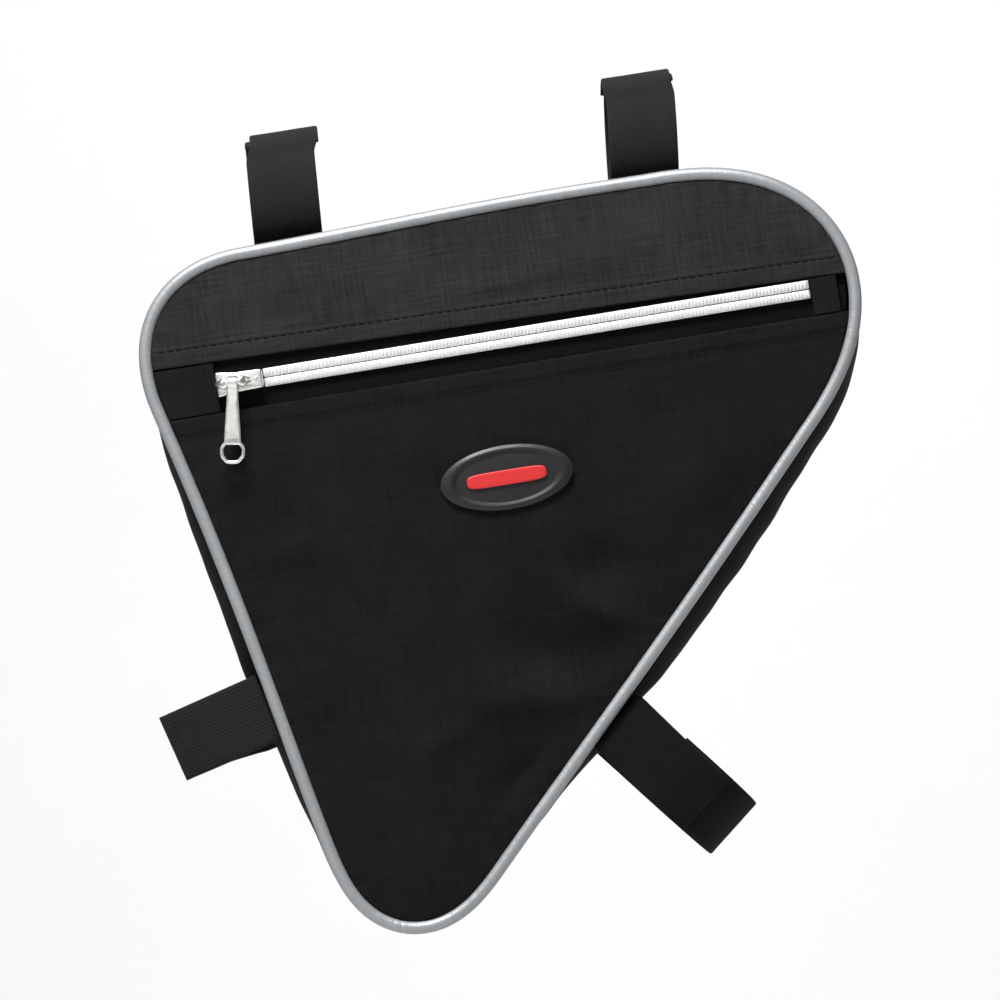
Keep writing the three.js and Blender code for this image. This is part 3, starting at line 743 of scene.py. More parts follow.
piping_film = piping_finish()
strap_webbing = webbing_finish("strap webbing", grey(0.007), grey(0.023))
# The lower strap's copy of the webbing is darker: painted shade of the tube that it wraps round.
shaded_lower_webbing = webbing_finish("shaded lower strap webbing", grey(0.002), grey(0.006))
coil_silver = coil_finish()
plated_metal = plated_finish()
badge_rubber = rubber_finish()
red_inlay = red_finish()
black_thread = thread_finish()
print(len(bpy.data.materials), "materials so far")

# %% [markdown]
# ## The front panels
# The front is cut in two along the zip. Each cut edge is folded under and sewn down, which leaves a hem of
# double cloth with a line of stitches and a soft round edge, and the outer edge dips into the piping seam
# with small puckers where the thread pulls. A grid in two parts follows this: first rows at fixed distances
# from the cut edge, for the hem, then rows that fan out to the seam, closer together where it puckers.

# %% The two front panels
HEM_REAR = ZIP_Z + COIL_WIDTH / 2 + 6.0
HEM_FRONT = ZIP_Z + COIL_WIDTH / 2 + 0.5
FOLD_Z = ZIP_Z - COIL_WIDTH / 2 - 7.0
HEM_WIDTH = 7.2
STITCH_INSET = 6.4
SEAM_TOUCH = 2.25
CUT_ROUND = 0.7
SEAM_ROUND = 0.9
HEM_RISE = 0.4
SHEET = 0.9
SLACK = {"rise": 0.5, "size": 17.0}
PUCKER = {"rise": 0.42, "pitch": 9.5, "fade": 5.5}
GROOVE = {"depth": 0.34, "width": 0.55, "ripple": 0.12, "pitch": 7.0}
CREASES = [  # small folds of the outer face: place, length and width of the hill, turn in degrees, rise
    {"x": 9, "z": -188, "long": 32, "wide": 16, "turn": -9, "rise": -4.6},
    {"x": -3, "z": -203, "long": 33, "wide": 9, "turn": -8, "rise": 2.8},
    {"x": 32, "z": -158, "long": 20, "wide": 14, "turn": -30, "rise": -3.5},
    {"x": 27, "z": -174, "long": 19, "wide": 8, "turn": -35, "rise": 2.4},
    {"x": 70, "z": -134, "long": 15, "wide": 15, "turn": -45, "rise": 2.2},
    {"x": -84, "z": -133, "long": 15, "wide": 10, "turn": 8, "rise": 1.8},
    {"x": -62, "z": -160, "long": 22, "wide": 8, "turn": -58, "rise": -1.3},
    {"x": -11, "z": -230, "long": 20, "wide": 9, "turn": 36, "rise": -2.4},
    {"x": -38, "z": -212, "long": 18, "wide": 8, "turn": 20, "rise": 1.6},
    {"x": -34, "z": -152, "long": 24, "wide": 10, "turn": 74, "rise": 1.3},
    {"x": 20, "z": -46, "long": 40, "wide": 8, "turn": 6, "rise": 1.0},
    {"x": -70, "z": -44, "long": 20, "wide": 8, "turn": 24, "rise": -1.0},
]
BADGE = {"z": -119.0, "length": 50.0, "height": 24.0}
BADGE_DENT = {"depth": 0.3, "at": 1.03, "width": 0.05}
HEM_ROWS = [0, 0.15, 0.35, 0.7, 1.2, 2, 3, 4, 5, 5.7, 6.1, 6.4, 6.7, 7.1, 7.5, 8, 8.7, 9.6]
SEAM_ROWS = [5.5, 4.6, 3.8, 3.1, 2.5, 2, 1.5, 1.1, 0.8, 0.5, 0.3, 0.15, 0]


def hem_at(x):
    """The height of the upper panel's cut edge, which runs down a little towards the front."""
    return HEM_REAR + (HEM_FRONT - HEM_REAR) / BAG_LENGTH * (x + REAR_REACH)


def above_hem(x, z):
    """How far a place lies above the upper panel's cut edge."""
    return z - hem_at(x)


def below_fold(_, z):
    """How far a place lies below the lower panel's cut edge, which is level."""
    return FOLD_Z - z


def seam_stretch(above, height, inset):
    """The part of the seam line, moved inwards, that lies further than a height from a cut edge. Its ends
    are exactly at that height, and it runs from the rear of the bag to the front."""
    line = seam[:, :2] - seam_out * inset
    level = above(line[:, 0], line[:, 1]) - height
    first = np.flatnonzero((level > 0) & (np.roll(level, 1) <= 0))[0]
    line, level = np.roll(line, 1 - first, 0), np.roll(level, 1 - first)
    count = np.flatnonzero(level[1:] <= 0)[0] + 1
    start = line[0] + (line[1] - line[0]) * level[0] / (level[0] - level[1])
    share = level[count - 1] / (level[count - 1] - level[count])
    end = line[count - 1] + (line[count] - line[count - 1]) * share
    stretch = np.vstack([start, line[1:count], end])
    return stretch if start[0] < end[0] else stretch[::-1]


def resample(line, share):
    """Points of a polyline at shares of its length."""
    run = run_along(line)
    return read_off(share * run[-1], run, line)


def badge_reach(x, z):
    """How far out a place lies on the badge's oval: 1 on its edge."""
    return np.hypot(x / (BADGE["length"] / 2), (z - BADGE["z"]) / (BADGE["height"] / 2))


def panel_face(x, z, hem, seed):
    """The depth of the cloth's outer face: the skin, creased and a little slack, raised over the folded
    hem, drawn in at its stitches, rippled along them, puckered towards the seam, pressed in round the
    badge, and rounded down at the seam and at the cut."""
    inside, run = to_seam(x, z)
    inside = inside - SEAM_TOUCH
    y = front_skin(x, z) - CLOTH / 2
    y -= hills(x, z, CREASES) * smooth(inside, 1, 12) * smooth(hem, 8, 14)
    y -= SLACK["rise"] * slack(x, z, SLACK["size"], seed) * smooth(inside, 0, 25) * smooth(hem, 4, 22)
    y -= HEM_RISE * (1 - smooth(hem, STITCH_INSET + 0.3, HEM_WIDTH + 0.9))
    y += GROOVE["depth"] * bump_at(hem - STITCH_INSET, GROOVE["width"])
    along_stitches = ripple(x, GROOVE["pitch"], seed) * bump_at(hem - STITCH_INSET, 4.5)
    y -= GROOVE["ripple"] * along_stitches * smooth(hem, 0.5, 3)
    fade = np.exp(-np.maximum(inside, 0) / PUCKER["fade"]) * smooth(inside, 0, 1.5)
    y -= PUCKER["rise"] * ripple(run, PUCKER["pitch"], seed) * fade
    y += BADGE_DENT["depth"] * bump_at(badge_reach(x, z) - BADGE_DENT["at"], BADGE_DENT["width"])
    y += SEAM_ROUND * (1 - round_edge(inside, SEAM_ROUND))
    return y + CUT_ROUND * (1 - round_edge(hem, CUT_ROUND))


def front_panel(name, above, columns, fan_rows, seed, material):
    """A panel's grid: lines parallel to the cut edge, then lines that turn into the line of the seam."""
    share = np.linspace(0, 1, columns)
    ends = [seam_stretch(above, height, SEAM_TOUCH)[[0, -1]] for height in HEM_ROWS]
    rows = [a + (b - a) * share[:, None] for a, b in ends]
    border = resample(seam_stretch(above, HEM_ROWS[-1], SEAM_TOUCH), share)
    start = rows[-1]
    reach = np.linalg.norm(border - start, axis=1)[:, None]
    far = np.minimum(SEAM_ROWS[0] / np.maximum(reach, 1e-6), 0.5)
    fan = [start + (border - start) * (1 - far) * t for t in np.linspace(0, 1, fan_rows)[1:]]
    rim = [start + (border - start) * (1 - far * k / SEAM_ROWS[0]) for k in SEAM_ROWS[1:]]
    flat = np.array(rows + fan + rim)
    x, z = flat[..., 0], flat[..., 1]
    y = panel_face(x, z, above(x, z), seed)
    points = np.stack([x, y, z], -1)
    panel = face_away(surface(name, points), bag_middle)
    give_wall(panel, SHEET)
    finish_piece(panel, material, "cloth", "bag", name)
    print(name, len(panel.data.vertices), "points")
    return panel


# The upper panel takes the lighter copy of the cloth, which is painted light from above.
front_panel("front_panel_upper", above_hem, 360, 56, 0.7, lit_upper_cloth)
front_panel("front_panel_lower", below_fold, 360, 104, 2.9, bag_cloth)

# %% [markdown]
# ## The gusset and the back
# A long band, the gusset, closes the bag's edge. Between its two seams it stands out in a soft roll, flat
# where the straps are sewn and looser between, with wrinkles that run across it. The back is one plain
# panel. Both curl into a shared seam, and the gusset's front edge runs up to the piping.

# %% Gusset
GUSSET_START = -BAG_DEPTH / 2 + PIPING_RADIUS + GAP
GUSSET_END = BAG_DEPTH / 2 - GAP
GUSSET_WALL = 1.0
WRINKLE = {"height": 0.44, "on_seat": 0.55, "lean": 5.0}
GUSSET_PUCKER = {"pitch": 8.5, "height": 0.35, "fade": 4.0}
SEAM_LOOP = np.arange(SEAM_COUNT + 1) % SEAM_COUNT
LOOP_RUN = np.arange(SEAM_COUNT + 1) * SEAM_LENGTH / SEAM_COUNT


def loop_wave(pitch, seed):
    """An uneven wave round the whole seam that meets itself: whole numbers of turns of two sines."""
    turn = 2 * np.pi * LOOP_RUN / SEAM_LENGTH
    whole = round(SEAM_LENGTH / pitch)
    slow = 1.6 * np.sin(3 * turn + seed) + 1.1 * np.sin(7 * turn + 2 * seed)
    return 0.6 * np.sin(whole * turn + slow) + 0.4 * np.sin(round(whole * 0.61) * turn + 2 * seed - slow)


def along_seam(out, y):
    """Points carried round the seam: out of the seam line, and y into the bag. Both are (count, rows)."""
    station, normal = seam[SEAM_LOOP, :2], seam_out[SEAM_LOOP]
    x = station[:, :1] + normal[:, :1] * out
    z = station[:, 1:] + normal[:, 1:] * out
    return np.stack([x, np.broadcast_to(y, x.shape), z], -1)


def make_gusset():
    """The band's section is out = wall / 2 + crown * (1 - |v| ** 2.5), with v from -1 to 1 across it, plus
    wrinkles that lean as they cross, and its edges curl round into the seams."""
    v = np.linspace(-1, 1, 41)
    middle = 1 - np.abs(v) ** 2.5
    crown = seam[SEAM_LOOP, 2:]
    seat = np.abs(v) * BAG_DEPTH / 2 < SEAT_WIDTH
    phase = (LOOP_RUN[:, None] + v * WRINKLE["lean"]) / SEAM_LENGTH * 2 * np.pi
    wrinkle = 0.55 * np.sin(31 * phase + 1.5 * np.sin(4 * phase))
    wrinkle = wrinkle + 0.45 * np.sin(47 * phase + 1.1 * np.sin(5 * phase))
    calm = np.where(seat, WRINKLE["on_seat"], 1.0)
    loose = WRINKLE["height"] * np.clip(crown / GUSSET_CROWN, 0, 1) * calm
    fade = np.exp(-(1 - np.abs(v)) * BAG_DEPTH / 2 / GUSSET_PUCKER["fade"])
    pucker = loop_wave(GUSSET_PUCKER["pitch"], 0.4)[:, None] * GUSSET_PUCKER["height"] * fade
    out = CLOTH / 2 + (crown + wrinkle * loose) * middle + pucker
    y = GUSSET_START + (GUSSET_END - GUSSET_START) * (v + 1) / 2
    front_curl = np.array([[0.1, -0.5], [0.5, -0.3]])
    back_curl = np.array([[0.55, 0.2], [0.0, 0.42]])
    ones = np.ones((SEAM_COUNT + 1, 1))
    out = np.hstack([ones * front_curl[:, 0], out, ones * back_curl[:, 0]])
    y = np.concatenate([GUSSET_START + front_curl[:, 1], y, GUSSET_END + back_curl[:, 1]])
    points = along_seam(out, y)
    gusset = surface("gusset_band", points, uv_grid(LOOP_RUN, y))
    give_wall(gusset, GUSSET_WALL)
    return finish_piece(gusset, bag_cloth, "cloth", "bag", "gusset")


gusset = face_away(make_gusset(), bag_middle)
print("gusset", round(SEAM_LENGTH), "mm long,", len(gusset.data.vertices), "points")

# %% Back panel
BACK_PUCKER = {"pitch": 9.0, "height": 0.35, "fade": 5.0}
BACK_EDGE = [  # how far out of the seam, and how far behind the back skin
    (-3.0, 0.75), (-1.4, 0.75), (-0.5, 0.72), (0.1, 0.55),
    (0.5, 0.25), (0.62, -0.1), (0.45, -0.45), (0.0, -0.6)]


def back_pucker(inside):
    """The small puckers of the back near its seam, for places that go round the seam row by row."""
    wave = loop_wave(BACK_PUCKER["pitch"], 1.7).reshape(-1, *[1] * (np.ndim(inside) - 1))
    fade = np.exp(-np.maximum(inside, 0) / BACK_PUCKER["fade"]) * smooth(inside, 0.5, 2.5)
    return BACK_PUCKER["height"] * wave * fade


def make_back():
    """Rings from the middle out to the seam on the back skin, and a last few that curl into the seam."""
    share = np.concatenate([np.linspace(0, 0.9, 34), np.linspace(0.915, 0.985, 9)])
    x = MIDDLE[0] + (seam[SEAM_LOOP, 0] - MIDDLE[0])[:, None] * share
    z = MIDDLE[1] + (seam[SEAM_LOOP, 1] - MIDDLE[1])[:, None] * share
    inside, _ = to_seam(x, z)
    y = back_skin(x, z) + CLOTH / 2 + back_pucker(inside)
    y += 0.35 * slack(x, z, 20.0, 4.1) * smooth(inside, 2, 25)
    rings = np.stack([x, y, z], -1)
    edge = np.array(BACK_EDGE)
    curl = along_seam(np.ones((SEAM_COUNT + 1, 1)) * edge[:, 0], BAG_DEPTH / 2 + CLOTH / 2 + edge[:, 1])
    points = np.concatenate([rings, curl], axis=1)
    back = surface("back_cloth", points)
    face_away(back, bag_middle)
    give_wall(back, SHEET)
    return finish_piece(back, back_cloth, "cloth", "bag", "back_panel")


back = make_back()
print("back", len(back.data.vertices), "points")

# %% [markdown]
# ## Piping
# The piping is a cord in a wrap of grey film, sewn into the front seam. A circle carried round the seam is
# its whole shape, and a very small wave in its radius shows where the film wrinkles over the cord.

# %% Piping
FILM_WRINKLE = {"height": 0.012, "pitch": 3.1}


def make_piping():
    """A circle of PIPING_RADIUS about the seam line at the front edge, carried all the way round."""
    angle = np.linspace(0, 2 * np.pi, 25)
    wave = loop_wave(FILM_WRINKLE["pitch"], 2.2)[:, None] * (0.5 + 0.5 * np.cos(angle - 2.2))
    radius = PIPING_RADIUS * (1 + FILM_WRINKLE["height"] * wave)
    points = along_seam(radius * np.cos(angle), -BAG_DEPTH / 2 + radius * np.sin(angle))
    piping = surface("piping_cord", points, uv_grid(LOOP_RUN, angle * PIPING_RADIUS), closed=True)
    return finish_piece(piping, piping_film, "piping", "bag", "piping")


piping = make_piping()
print("piping", len(piping.data.polygons), "faces")

# %% [markdown]
# ## Straps
# The straps are 26 mm hook-and-loop webbing. Each is sewn to the gusset at the bottom of its loop, goes up
# at the back and down over the front, where its end lies on the layer below. Webbing is a rounded
# rectangle carried along a path in the plane of the loop. Its two ends are closed by a row of no thickness.

# %% Webbing along a path
WEB_SECTION = 9
WEB_STEP = 0.8
WEB_END = 0.7


def web_section(width, thickness):
    """A rounded rectangle as (across, up) pairs, the same point first and last. Its two long faces have
    equal points, so that they meet where the thickness falls to nothing."""
    half = width / 2
    turn = np.linspace(0, np.pi / 2, 4)[:-1]
    across = half - thickness / 2 * (1 - np.cos(turn))
    flat = np.linspace(half - thickness / 2, thickness / 2 - half, WEB_SECTION)
    side = np.concatenate([across, flat, -across[::-1]])
    lift = np.concatenate([np.sin(turn), np.ones(WEB_SECTION), np.sin(turn)[::-1]])
    top = np.stack([side, lift * thickness / 2], -1)
    return np.vstack([top, np.stack([top[::-1, 0], -top[::-1, 1]], -1)[1:]])


def webbing(name, path, place, shift, material=strap_webbing):
    """A strap along a path of (y, z) points, with its width along x. Its faces lie half a wall to each side
    of the path, which is shifted along x by a length at each point. A slow wave lifts its edges a little,
    and place() puts it where it belongs."""
    run = run_along(path)
    even = np.linspace(0, run[-1], int(run[-1] / WEB_STEP))
    line = read_off(even, run, path)
    padded = np.pad(line, ((3, 3), (0, 0)), mode="reflect", reflect_type="odd")
    line = smoothed(padded, np.hanning(7))
    tangent = np.gradient(line, axis=0)
    tangent /= np.linalg.norm(tangent, axis=1)[:, None]
    normal = np.stack([-tangent[:, 1], tangent[:, 0]], -1)
    section = web_section(STRAP_WIDTH, WEBBING)
    end = np.minimum(even, run[-1] - even)
    across, up = section[:, 0], section[:, 1]
    wave = 0.12 * np.sin(even[:, None] / 9.0 + across / 6) + 0.1 * np.sin(even[:, None] / 4.3 - across / 9)
    wave = wave * (np.abs(across) / (STRAP_WIDTH / 2)) ** 2
    height = up * round_edge(end, WEB_END)[:, None] + wave * smooth(end, 0, 6)[:, None]
    x = across + np.interp(even, run, shift)[:, None] + 0 * height
    y = line[:, :1] + normal[:, :1] * height
    z = line[:, 1:] + normal[:, 1:] * height
    strap = surface(name, place(np.stack([x, y, z], -1)), uv_grid(even, run_along(section)), closed=True)
    return finish_piece(strap, material, "strap", "bag", name)


# %% The top loops
def loop_path(width, height, front_end, rear_end):
    """A loop's path as (y, z), how much of the overlap each point has, and its angle, which runs from the
    back over the bottom to the front. The overlapping end is lifted by one wall and a gap, and the loop is
    flat where it is sewn, at the bottom."""
    angle = np.linspace(rear_end - 360, front_end, 420)
    lap = smooth(angle, rear_end - 24, rear_end - 4.5)
    half = WEBBING / 2 + lap * (WEBBING + GAP)
    y = -(width / 2 + half) * np.sin(np.radians(angle))
    z = -(height / 2 + half) * np.cos(np.radians(angle))
    seat = (np.abs(angle) < 90) & (np.abs(y) <= SEAT_WIDTH / 2)
    z = np.where(seat, -height / 2 - half, z)
    return np.stack([y, z], -1), lap, angle


def top_place(along):
    """Puts a loop at a distance along the line that the bag hangs from."""
    return lambda points: points + np.array([along, 0, 0])


TOP_STRAPS = {  # place along the line, lean over its height, and how far aside the overlapping end lies
    "strap_top_rear": {"along": -66.5, "lean": 2.6, "aside": 2.0},
    "strap_top_front": {"along": 69.5, "lean": 4.4, "aside": -1.1},
}
for name, strap in TOP_STRAPS.items():
    path, lap, _ = loop_path(TOP_LOOP["width"], TOP_LOOP["height"], 216, 153)
    leaning = strap["lean"] * (path[:, 1] + TOP_LOOP["height"] / 2) / TOP_LOOP["height"]
    webbing(name, path, top_place(strap["along"]), shift=leaning + strap["aside"] * lap)
    print(name, "leans", strap["lean"], "mm")

# %% [markdown]
# ## The lower strap and the loose one
# Both of these are sewn across the gusset, from the piping to the back seam, so their roots follow its
# roll. The one at the front is closed into a loop. The one at the rear isn't in use: its two halves come
# off the gusset's two edges, close together and stand out as a tab, the back half a little lower.

# %% Lower strap and tab
TAB = {"length": 35.6, "short": 3.0}
ROLL = np.array([  # how far to the side of the gusset's middle, and how far its roll has fallen there
    (0.0, 0.0), (6.0, 0.05), (11.0, 0.5), (15.5, 1.5), (18.6, 2.9), (20.6, 3.7), (22.3, 3.3), (23.4, 1.8)])
crest = seam[:, :2] + seam_out * (seam[:, 2:] + CLOTH / 2)


def box_middle(node):
    """The middle of a construction node in millimetres in the bag's frame, with its depth left at 0."""
    low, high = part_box(node)
    x, _, z = (np.array(low) + np.array(high)) / 2 / MM
    x, z = turned(x, z, -HANG_SLOPE)
    return np.array([x, 0, z])


def turned_place(centre, z_axis):
    """Puts a loop at a centre with its own z towards a direction in the plane of the bag."""
    z_axis = np.array([z_axis[0], 0, z_axis[1]]) / np.hypot(*z_axis)
    x_axis = np.array([z_axis[2], 0, -z_axis[0]])
    y_axis = np.array([0, 1, 0])
    return lambda points: (centre + points[..., :1] * x_axis + points[..., 1:2] * y_axis
                           + points[..., 2:] * z_axis)


def both_sides(side, height):
    """A path that comes in from the back, crosses the middle once and goes out at the front."""
    back = np.stack([side, height], -1)[::-1]
    return np.vstack([back, np.stack([-side, height], -1)[1:]])


def laid_loop(path, lap, angle, seat):
    """A loop whose bottom is laid over the gusset's roll. From there to its sides it runs straight."""
    bottom = np.flatnonzero(np.abs(angle) < 80)
    first, last = bottom[0], bottom[-1]
    laid = both_sides(ROLL[:, 0], seat - ROLL[:, 1])
    joined = np.vstack([path[:first], laid, path[last + 1:]])
    return joined, np.concatenate([lap[:first], np.zeros(len(laid)), lap[last + 1:]])


def tab_path():
    """The two halves of the loose strap: they leave the gusset's edges and close within half the tab's
    length. Each row is how far out, as a share of the length, and how far to the side."""
    close = (WEBBING + GAP) / 2
    rows = np.array([(0.1, 22.0), (0.2, 19.0), (0.34, 13.6), (0.5, 7.8), (0.65, 3.9),
                     (0.8, 1.8), (0.91, close * 1.1), (1, close)])
    side = np.concatenate([ROLL[:-1, 0], rows[:, 1]])
    height = np.concatenate([-GAP - ROLL[:-1, 1], rows[:, 0] * TAB["length"]])
    path = both_sides(side, height)
    back_rows = len(side) - 1
    slip = np.interp(np.arange(len(path)), [0, 4, 7, back_rows - 5, back_rows], [0, -0.3, -2.4, -2.6, 0])
    path[:4, 1] -= TAB["short"] * np.array([1, 0.8, 0.5, 0.2])
    return path, slip


down_turn = math.pi - LOWER_SLOPE
path, lap, angle = loop_path(LOWER_LOOP["width"], LOWER_LOOP["height"], 117, 72)
path, lap = laid_loop(path, lap, angle, -LOWER_LOOP["height"] / 2 - WEBBING / 2 - 2 * GAP)
# This strap takes the darker copy of the webbing, which is painted shade.
webbing("strap_down_tube", path,
        turned_place(box_middle("strap_down_tube"), (math.sin(down_turn), math.cos(down_turn))),
        shift=lap + 0.012 * path[:, 0], material=shaded_lower_webbing)
tab_middle = box_middle("strap_rear_tab")
seat = np.argmin(np.hypot(*(crest - tab_middle[[0, 2]]).T))
slope = crest[seat + 14] - crest[seat - 14]
tab_out = np.array([-slope[1], slope[0]]) / np.hypot(*slope)
reach = (TAB["length"] + WEBBING / 2) / 2
tab_place = turned_place(tab_middle - np.array([tab_out[0], 0, tab_out[1]]) * reach, tab_out)
path, slip = tab_path()
webbing("strap_rear_tab", path, tab_place, shift=slip)
print("tab points", np.degrees(np.arctan2(tab_out[1], tab_out[0])).round(1), "degrees")

# %% [markdown]
# ## Zip
# Behind the two panels run two tapes with a bright coil on each. A coil is one filament wound into flat
# loops, which look like a row of small rounded teeth from the front, and the two rows mesh in the middle.
# One tooth is a rounded grain, and adding its points to every tooth's place gives all of them in one array.

# %% Tapes and patches
TAPE = {"width": 32.0, "inset": 3.4, "wall": 0.8}
PATCH = {"length": 10.0, "wall": 1.4, "round": 0.6, "proud": 0.15}
rear_seam, front_seam = seam_stretch(lambda x, z: z - ZIP_Z, 0, 0)[[0, -1], 0]
COIL_END = front_seam - 16.8
SLIDER = {"x": rear_seam + 33.4, "length": 17.5, "nose": 9.6, "tail": 7.0, "height": 3.4}
SLIDER_REAR = SLIDER["x"] - SLIDER["length"] / 2
SLIDER_FRONT = SLIDER["x"] + SLIDER["length"] / 2


def strip(name, low, high, from_x, to_x, depth, columns, rows, wall, material, slot, *nodes):
    """A sheet between two heights and two ends, at depth(x, z). An end is a number or a function of z."""
    t = np.linspace(0, 1, rows)[:, None]
    s = np.linspace(0, 1, columns)[None, :]
    z_line = low + (high - low) * t
    left = from_x(z_line) if callable(from_x) else from_x
    right = to_x(z_line) if callable(to_x) else to_x
    x = left + (right - left) * s + 0 * t
    z = z_line + 0 * s
    points = np.stack([x, depth(x, z), z], -1)
    piece = surface(name, points)
    face_away(piece, bag_middle)
    give_wall(piece, wall)
    return finish_piece(piece, material, slot, "bag", *nodes)


def seam_x(front, inset):
    """The x of the seam at each height of a column of heights, moved inwards."""
    def at(z):
        rows = [seam_stretch(lambda x, y, level=level: y - level, 0, inset)[-1 if front else 0, 0]
                for level in np.ravel(z)]
        return np.reshape(rows, np.shape(z))
    return at


def tape_depth(x, z):
    """The middle of the tapes, just behind the front cloth."""
    return front_skin(x, z) + CLOTH / 2 + GAP


for name, side in (("upper", 1), ("lower", -1)):
    strip(f"zip_tape_{name}", ZIP_Z + side * GAP / 2, ZIP_Z + side * TAPE["width"] / 2,
          seam_x(False, TAPE["inset"]), seam_x(True, TAPE["inset"]), tape_depth, 200, 14,
          TAPE["wall"], zip_tape, "tape", f"zip_tape_{name}")


def patch_depth(low, high):
    """The patch lies level with the panels, with rounded edges above and below."""
    def at(x, z):
        fall = 1 - round_edge(np.minimum(z - low, high - z), PATCH["round"])
        return front_skin(x, z) - CLOTH / 2 - PATCH["proud"] + PATCH["round"] * fall
    return at


patch_low = FOLD_Z + GAP / 3
for name, from_x, to_x, hem_x in (
        ("rear", seam_x(False, SEAM_TOUCH + 0.4), SLIDER_REAR - GAP, SLIDER_REAR),
        ("front", COIL_END + GAP, COIL_END + GAP + PATCH["length"], COIL_END + PATCH["length"])):
    patch_high = hem_at(hem_x) - GAP / 3
    strip(f"zip_patch_{name}", patch_low, patch_high, from_x, to_x, patch_depth(patch_low, patch_high),
          40, 48, PATCH["wall"], bag_cloth, "tape", f"zip_patch_{name}")
    print(f"{name} patch from", round(patch_low, 1), "to", round(patch_high, 1), "mm")

# %% Coils
TOOTH = {"pitch": 1.35, "reach": COIL_WIDTH / 2 - 0.25, "along": 0.6, "out": 0.66, "lean": 0.14}
BED = {"edge": 0.18, "depth": 0.25, "wall": 1.2}


def tooth_grain():
    """One tooth about its own middle: a grain whose girth is the square root of 1 - v ** 4 along it. It
    leans a little, as a wound loop does."""
    v = np.sin(np.linspace(-np.pi / 2, np.pi / 2, 7))[:, None]
    u = np.linspace(0, 2 * np.pi, 9)[None, :]
    full = (1 - v ** 4) ** 0.5
    z = v * TOOTH["reach"] / 2
    x = TOOTH["along"] * np.cos(u) * full + z * TOOTH["lean"]
    y = -TOOTH["out"] * np.sin(u) * full
    return np.stack([x, y, z + 0 * u], -1)


def make_coil(name, side):
    """Every tooth of one row at once: the grain plus the places, with the second row half a pitch along."""
    grain = tooth_grain()
    first = SLIDER_FRONT + 0.9 + (0 if side > 0 else TOOTH["pitch"] / 2)
    places_x = np.arange(first, COIL_END - 0.4, TOOTH["pitch"])[:, None, None]
    places_z = ZIP_Z + side * (0.2 + TOOTH["reach"] / 2)
    x = places_x + grain[..., 0]
    z = places_z + side * grain[..., 2]
    depth = front_skin(places_x, places_z + 0 * places_x) - CLOTH / 2 + 0.08
    points = np.stack(np.broadcast_arrays(x, depth + grain[..., 1], z), -1)
    faces = repeated_faces(*points.shape[:3])
    teeth = weld(new_mesh(f"zip_coil_{name}", to_row(points).reshape(-1, 3), faces), outwards=True)
    strip(f"zip_bed_{name}", ZIP_Z + side * BED["edge"], ZIP_Z + side * COIL_WIDTH / 2,
          SLIDER_FRONT + GAP, COIL_END - 0.2,
          lambda x, z: front_skin(x, z) - CLOTH / 2 + BED["depth"], 160, 6, BED["wall"],
          coil_silver, "coil")
    finish_piece(teeth, coil_silver, "coil", "bag", f"zip_coil_{name}")
    return len(points)


print("teeth", make_coil("upper", 1) + make_coil("lower", -1))

# %% [markdown]
# ## Slider and pull
# The slider is cast metal: a top plate over the coil, a bottom plate behind it, a core between them and
# side walls that hold the coil in. An arched bridge stands on the top plate. The pull's rolled eye goes
# round the bridge, so the pull hangs straight down while the zip slopes, and it turns with its own body.

# %% Metal shapes
SLIDER_SKIN = front_skin(np.array([SLIDER_REAR, SLIDER_FRONT]), np.array([ZIP_Z, ZIP_Z]))
SLIDER_TILT = math.atan2(SLIDER_SKIN[1] - SLIDER_SKIN[0], SLIDER["length"])
BRIDGE = {"height": 6.1, "span": 12.0, "behind": 2.4}
EYE = {"outer": 2.4, "wall": 0.9, "width": 3.6}
PULL = {"length": 30.8, "neck": 4.2, "foot": 6.5, "wall": 1.4}
RING = {"width": 9.8, "height": 7.9, "wire": 1.7}
BOSS = {"radius": 0.828, "foot": -3.0, "face": -3.9, "places": (-6.4, 6.2)}
ROD_SIDES = 15
SHOULDER = 1.06


def on_zip(points):
    """From the slider's own place, x along the zip and -y out of it, into the bag's frame."""
    x, y = turned(points[..., 0], points[..., 1], SLIDER_TILT)
    return np.stack([x + SLIDER["x"], y + SLIDER_SKIN.mean(), points[..., 2] + ZIP_Z], -1)


def hanging(points):
    """From the pull's own place, -z down, into the slider's: straight down from the bridge's middle."""
    x, z = turned(points[..., 0], points[..., 2], -HANG_SLOPE)
    return on_zip(np.stack([x - BRIDGE["behind"], points[..., 1] - BRIDGE["height"], z], -1))


def round_outline(corners, soften, count=120):
    """An even closed outline through corner points, with its corners smoothed over a length."""
    closed = np.vstack([corners, corners[:1]])
    line = resample(closed, np.linspace(0, 1, count, endpoint=False))
    half = max(1, round(soften / run_along(closed)[-1] * count / 2))
    window = np.hanning(2 * half + 3)[1:-1]
    padded = np.vstack([line[-half:], line, line[:half]])
    line = smoothed(padded, window)
    return np.vstack([line, line[:1]])


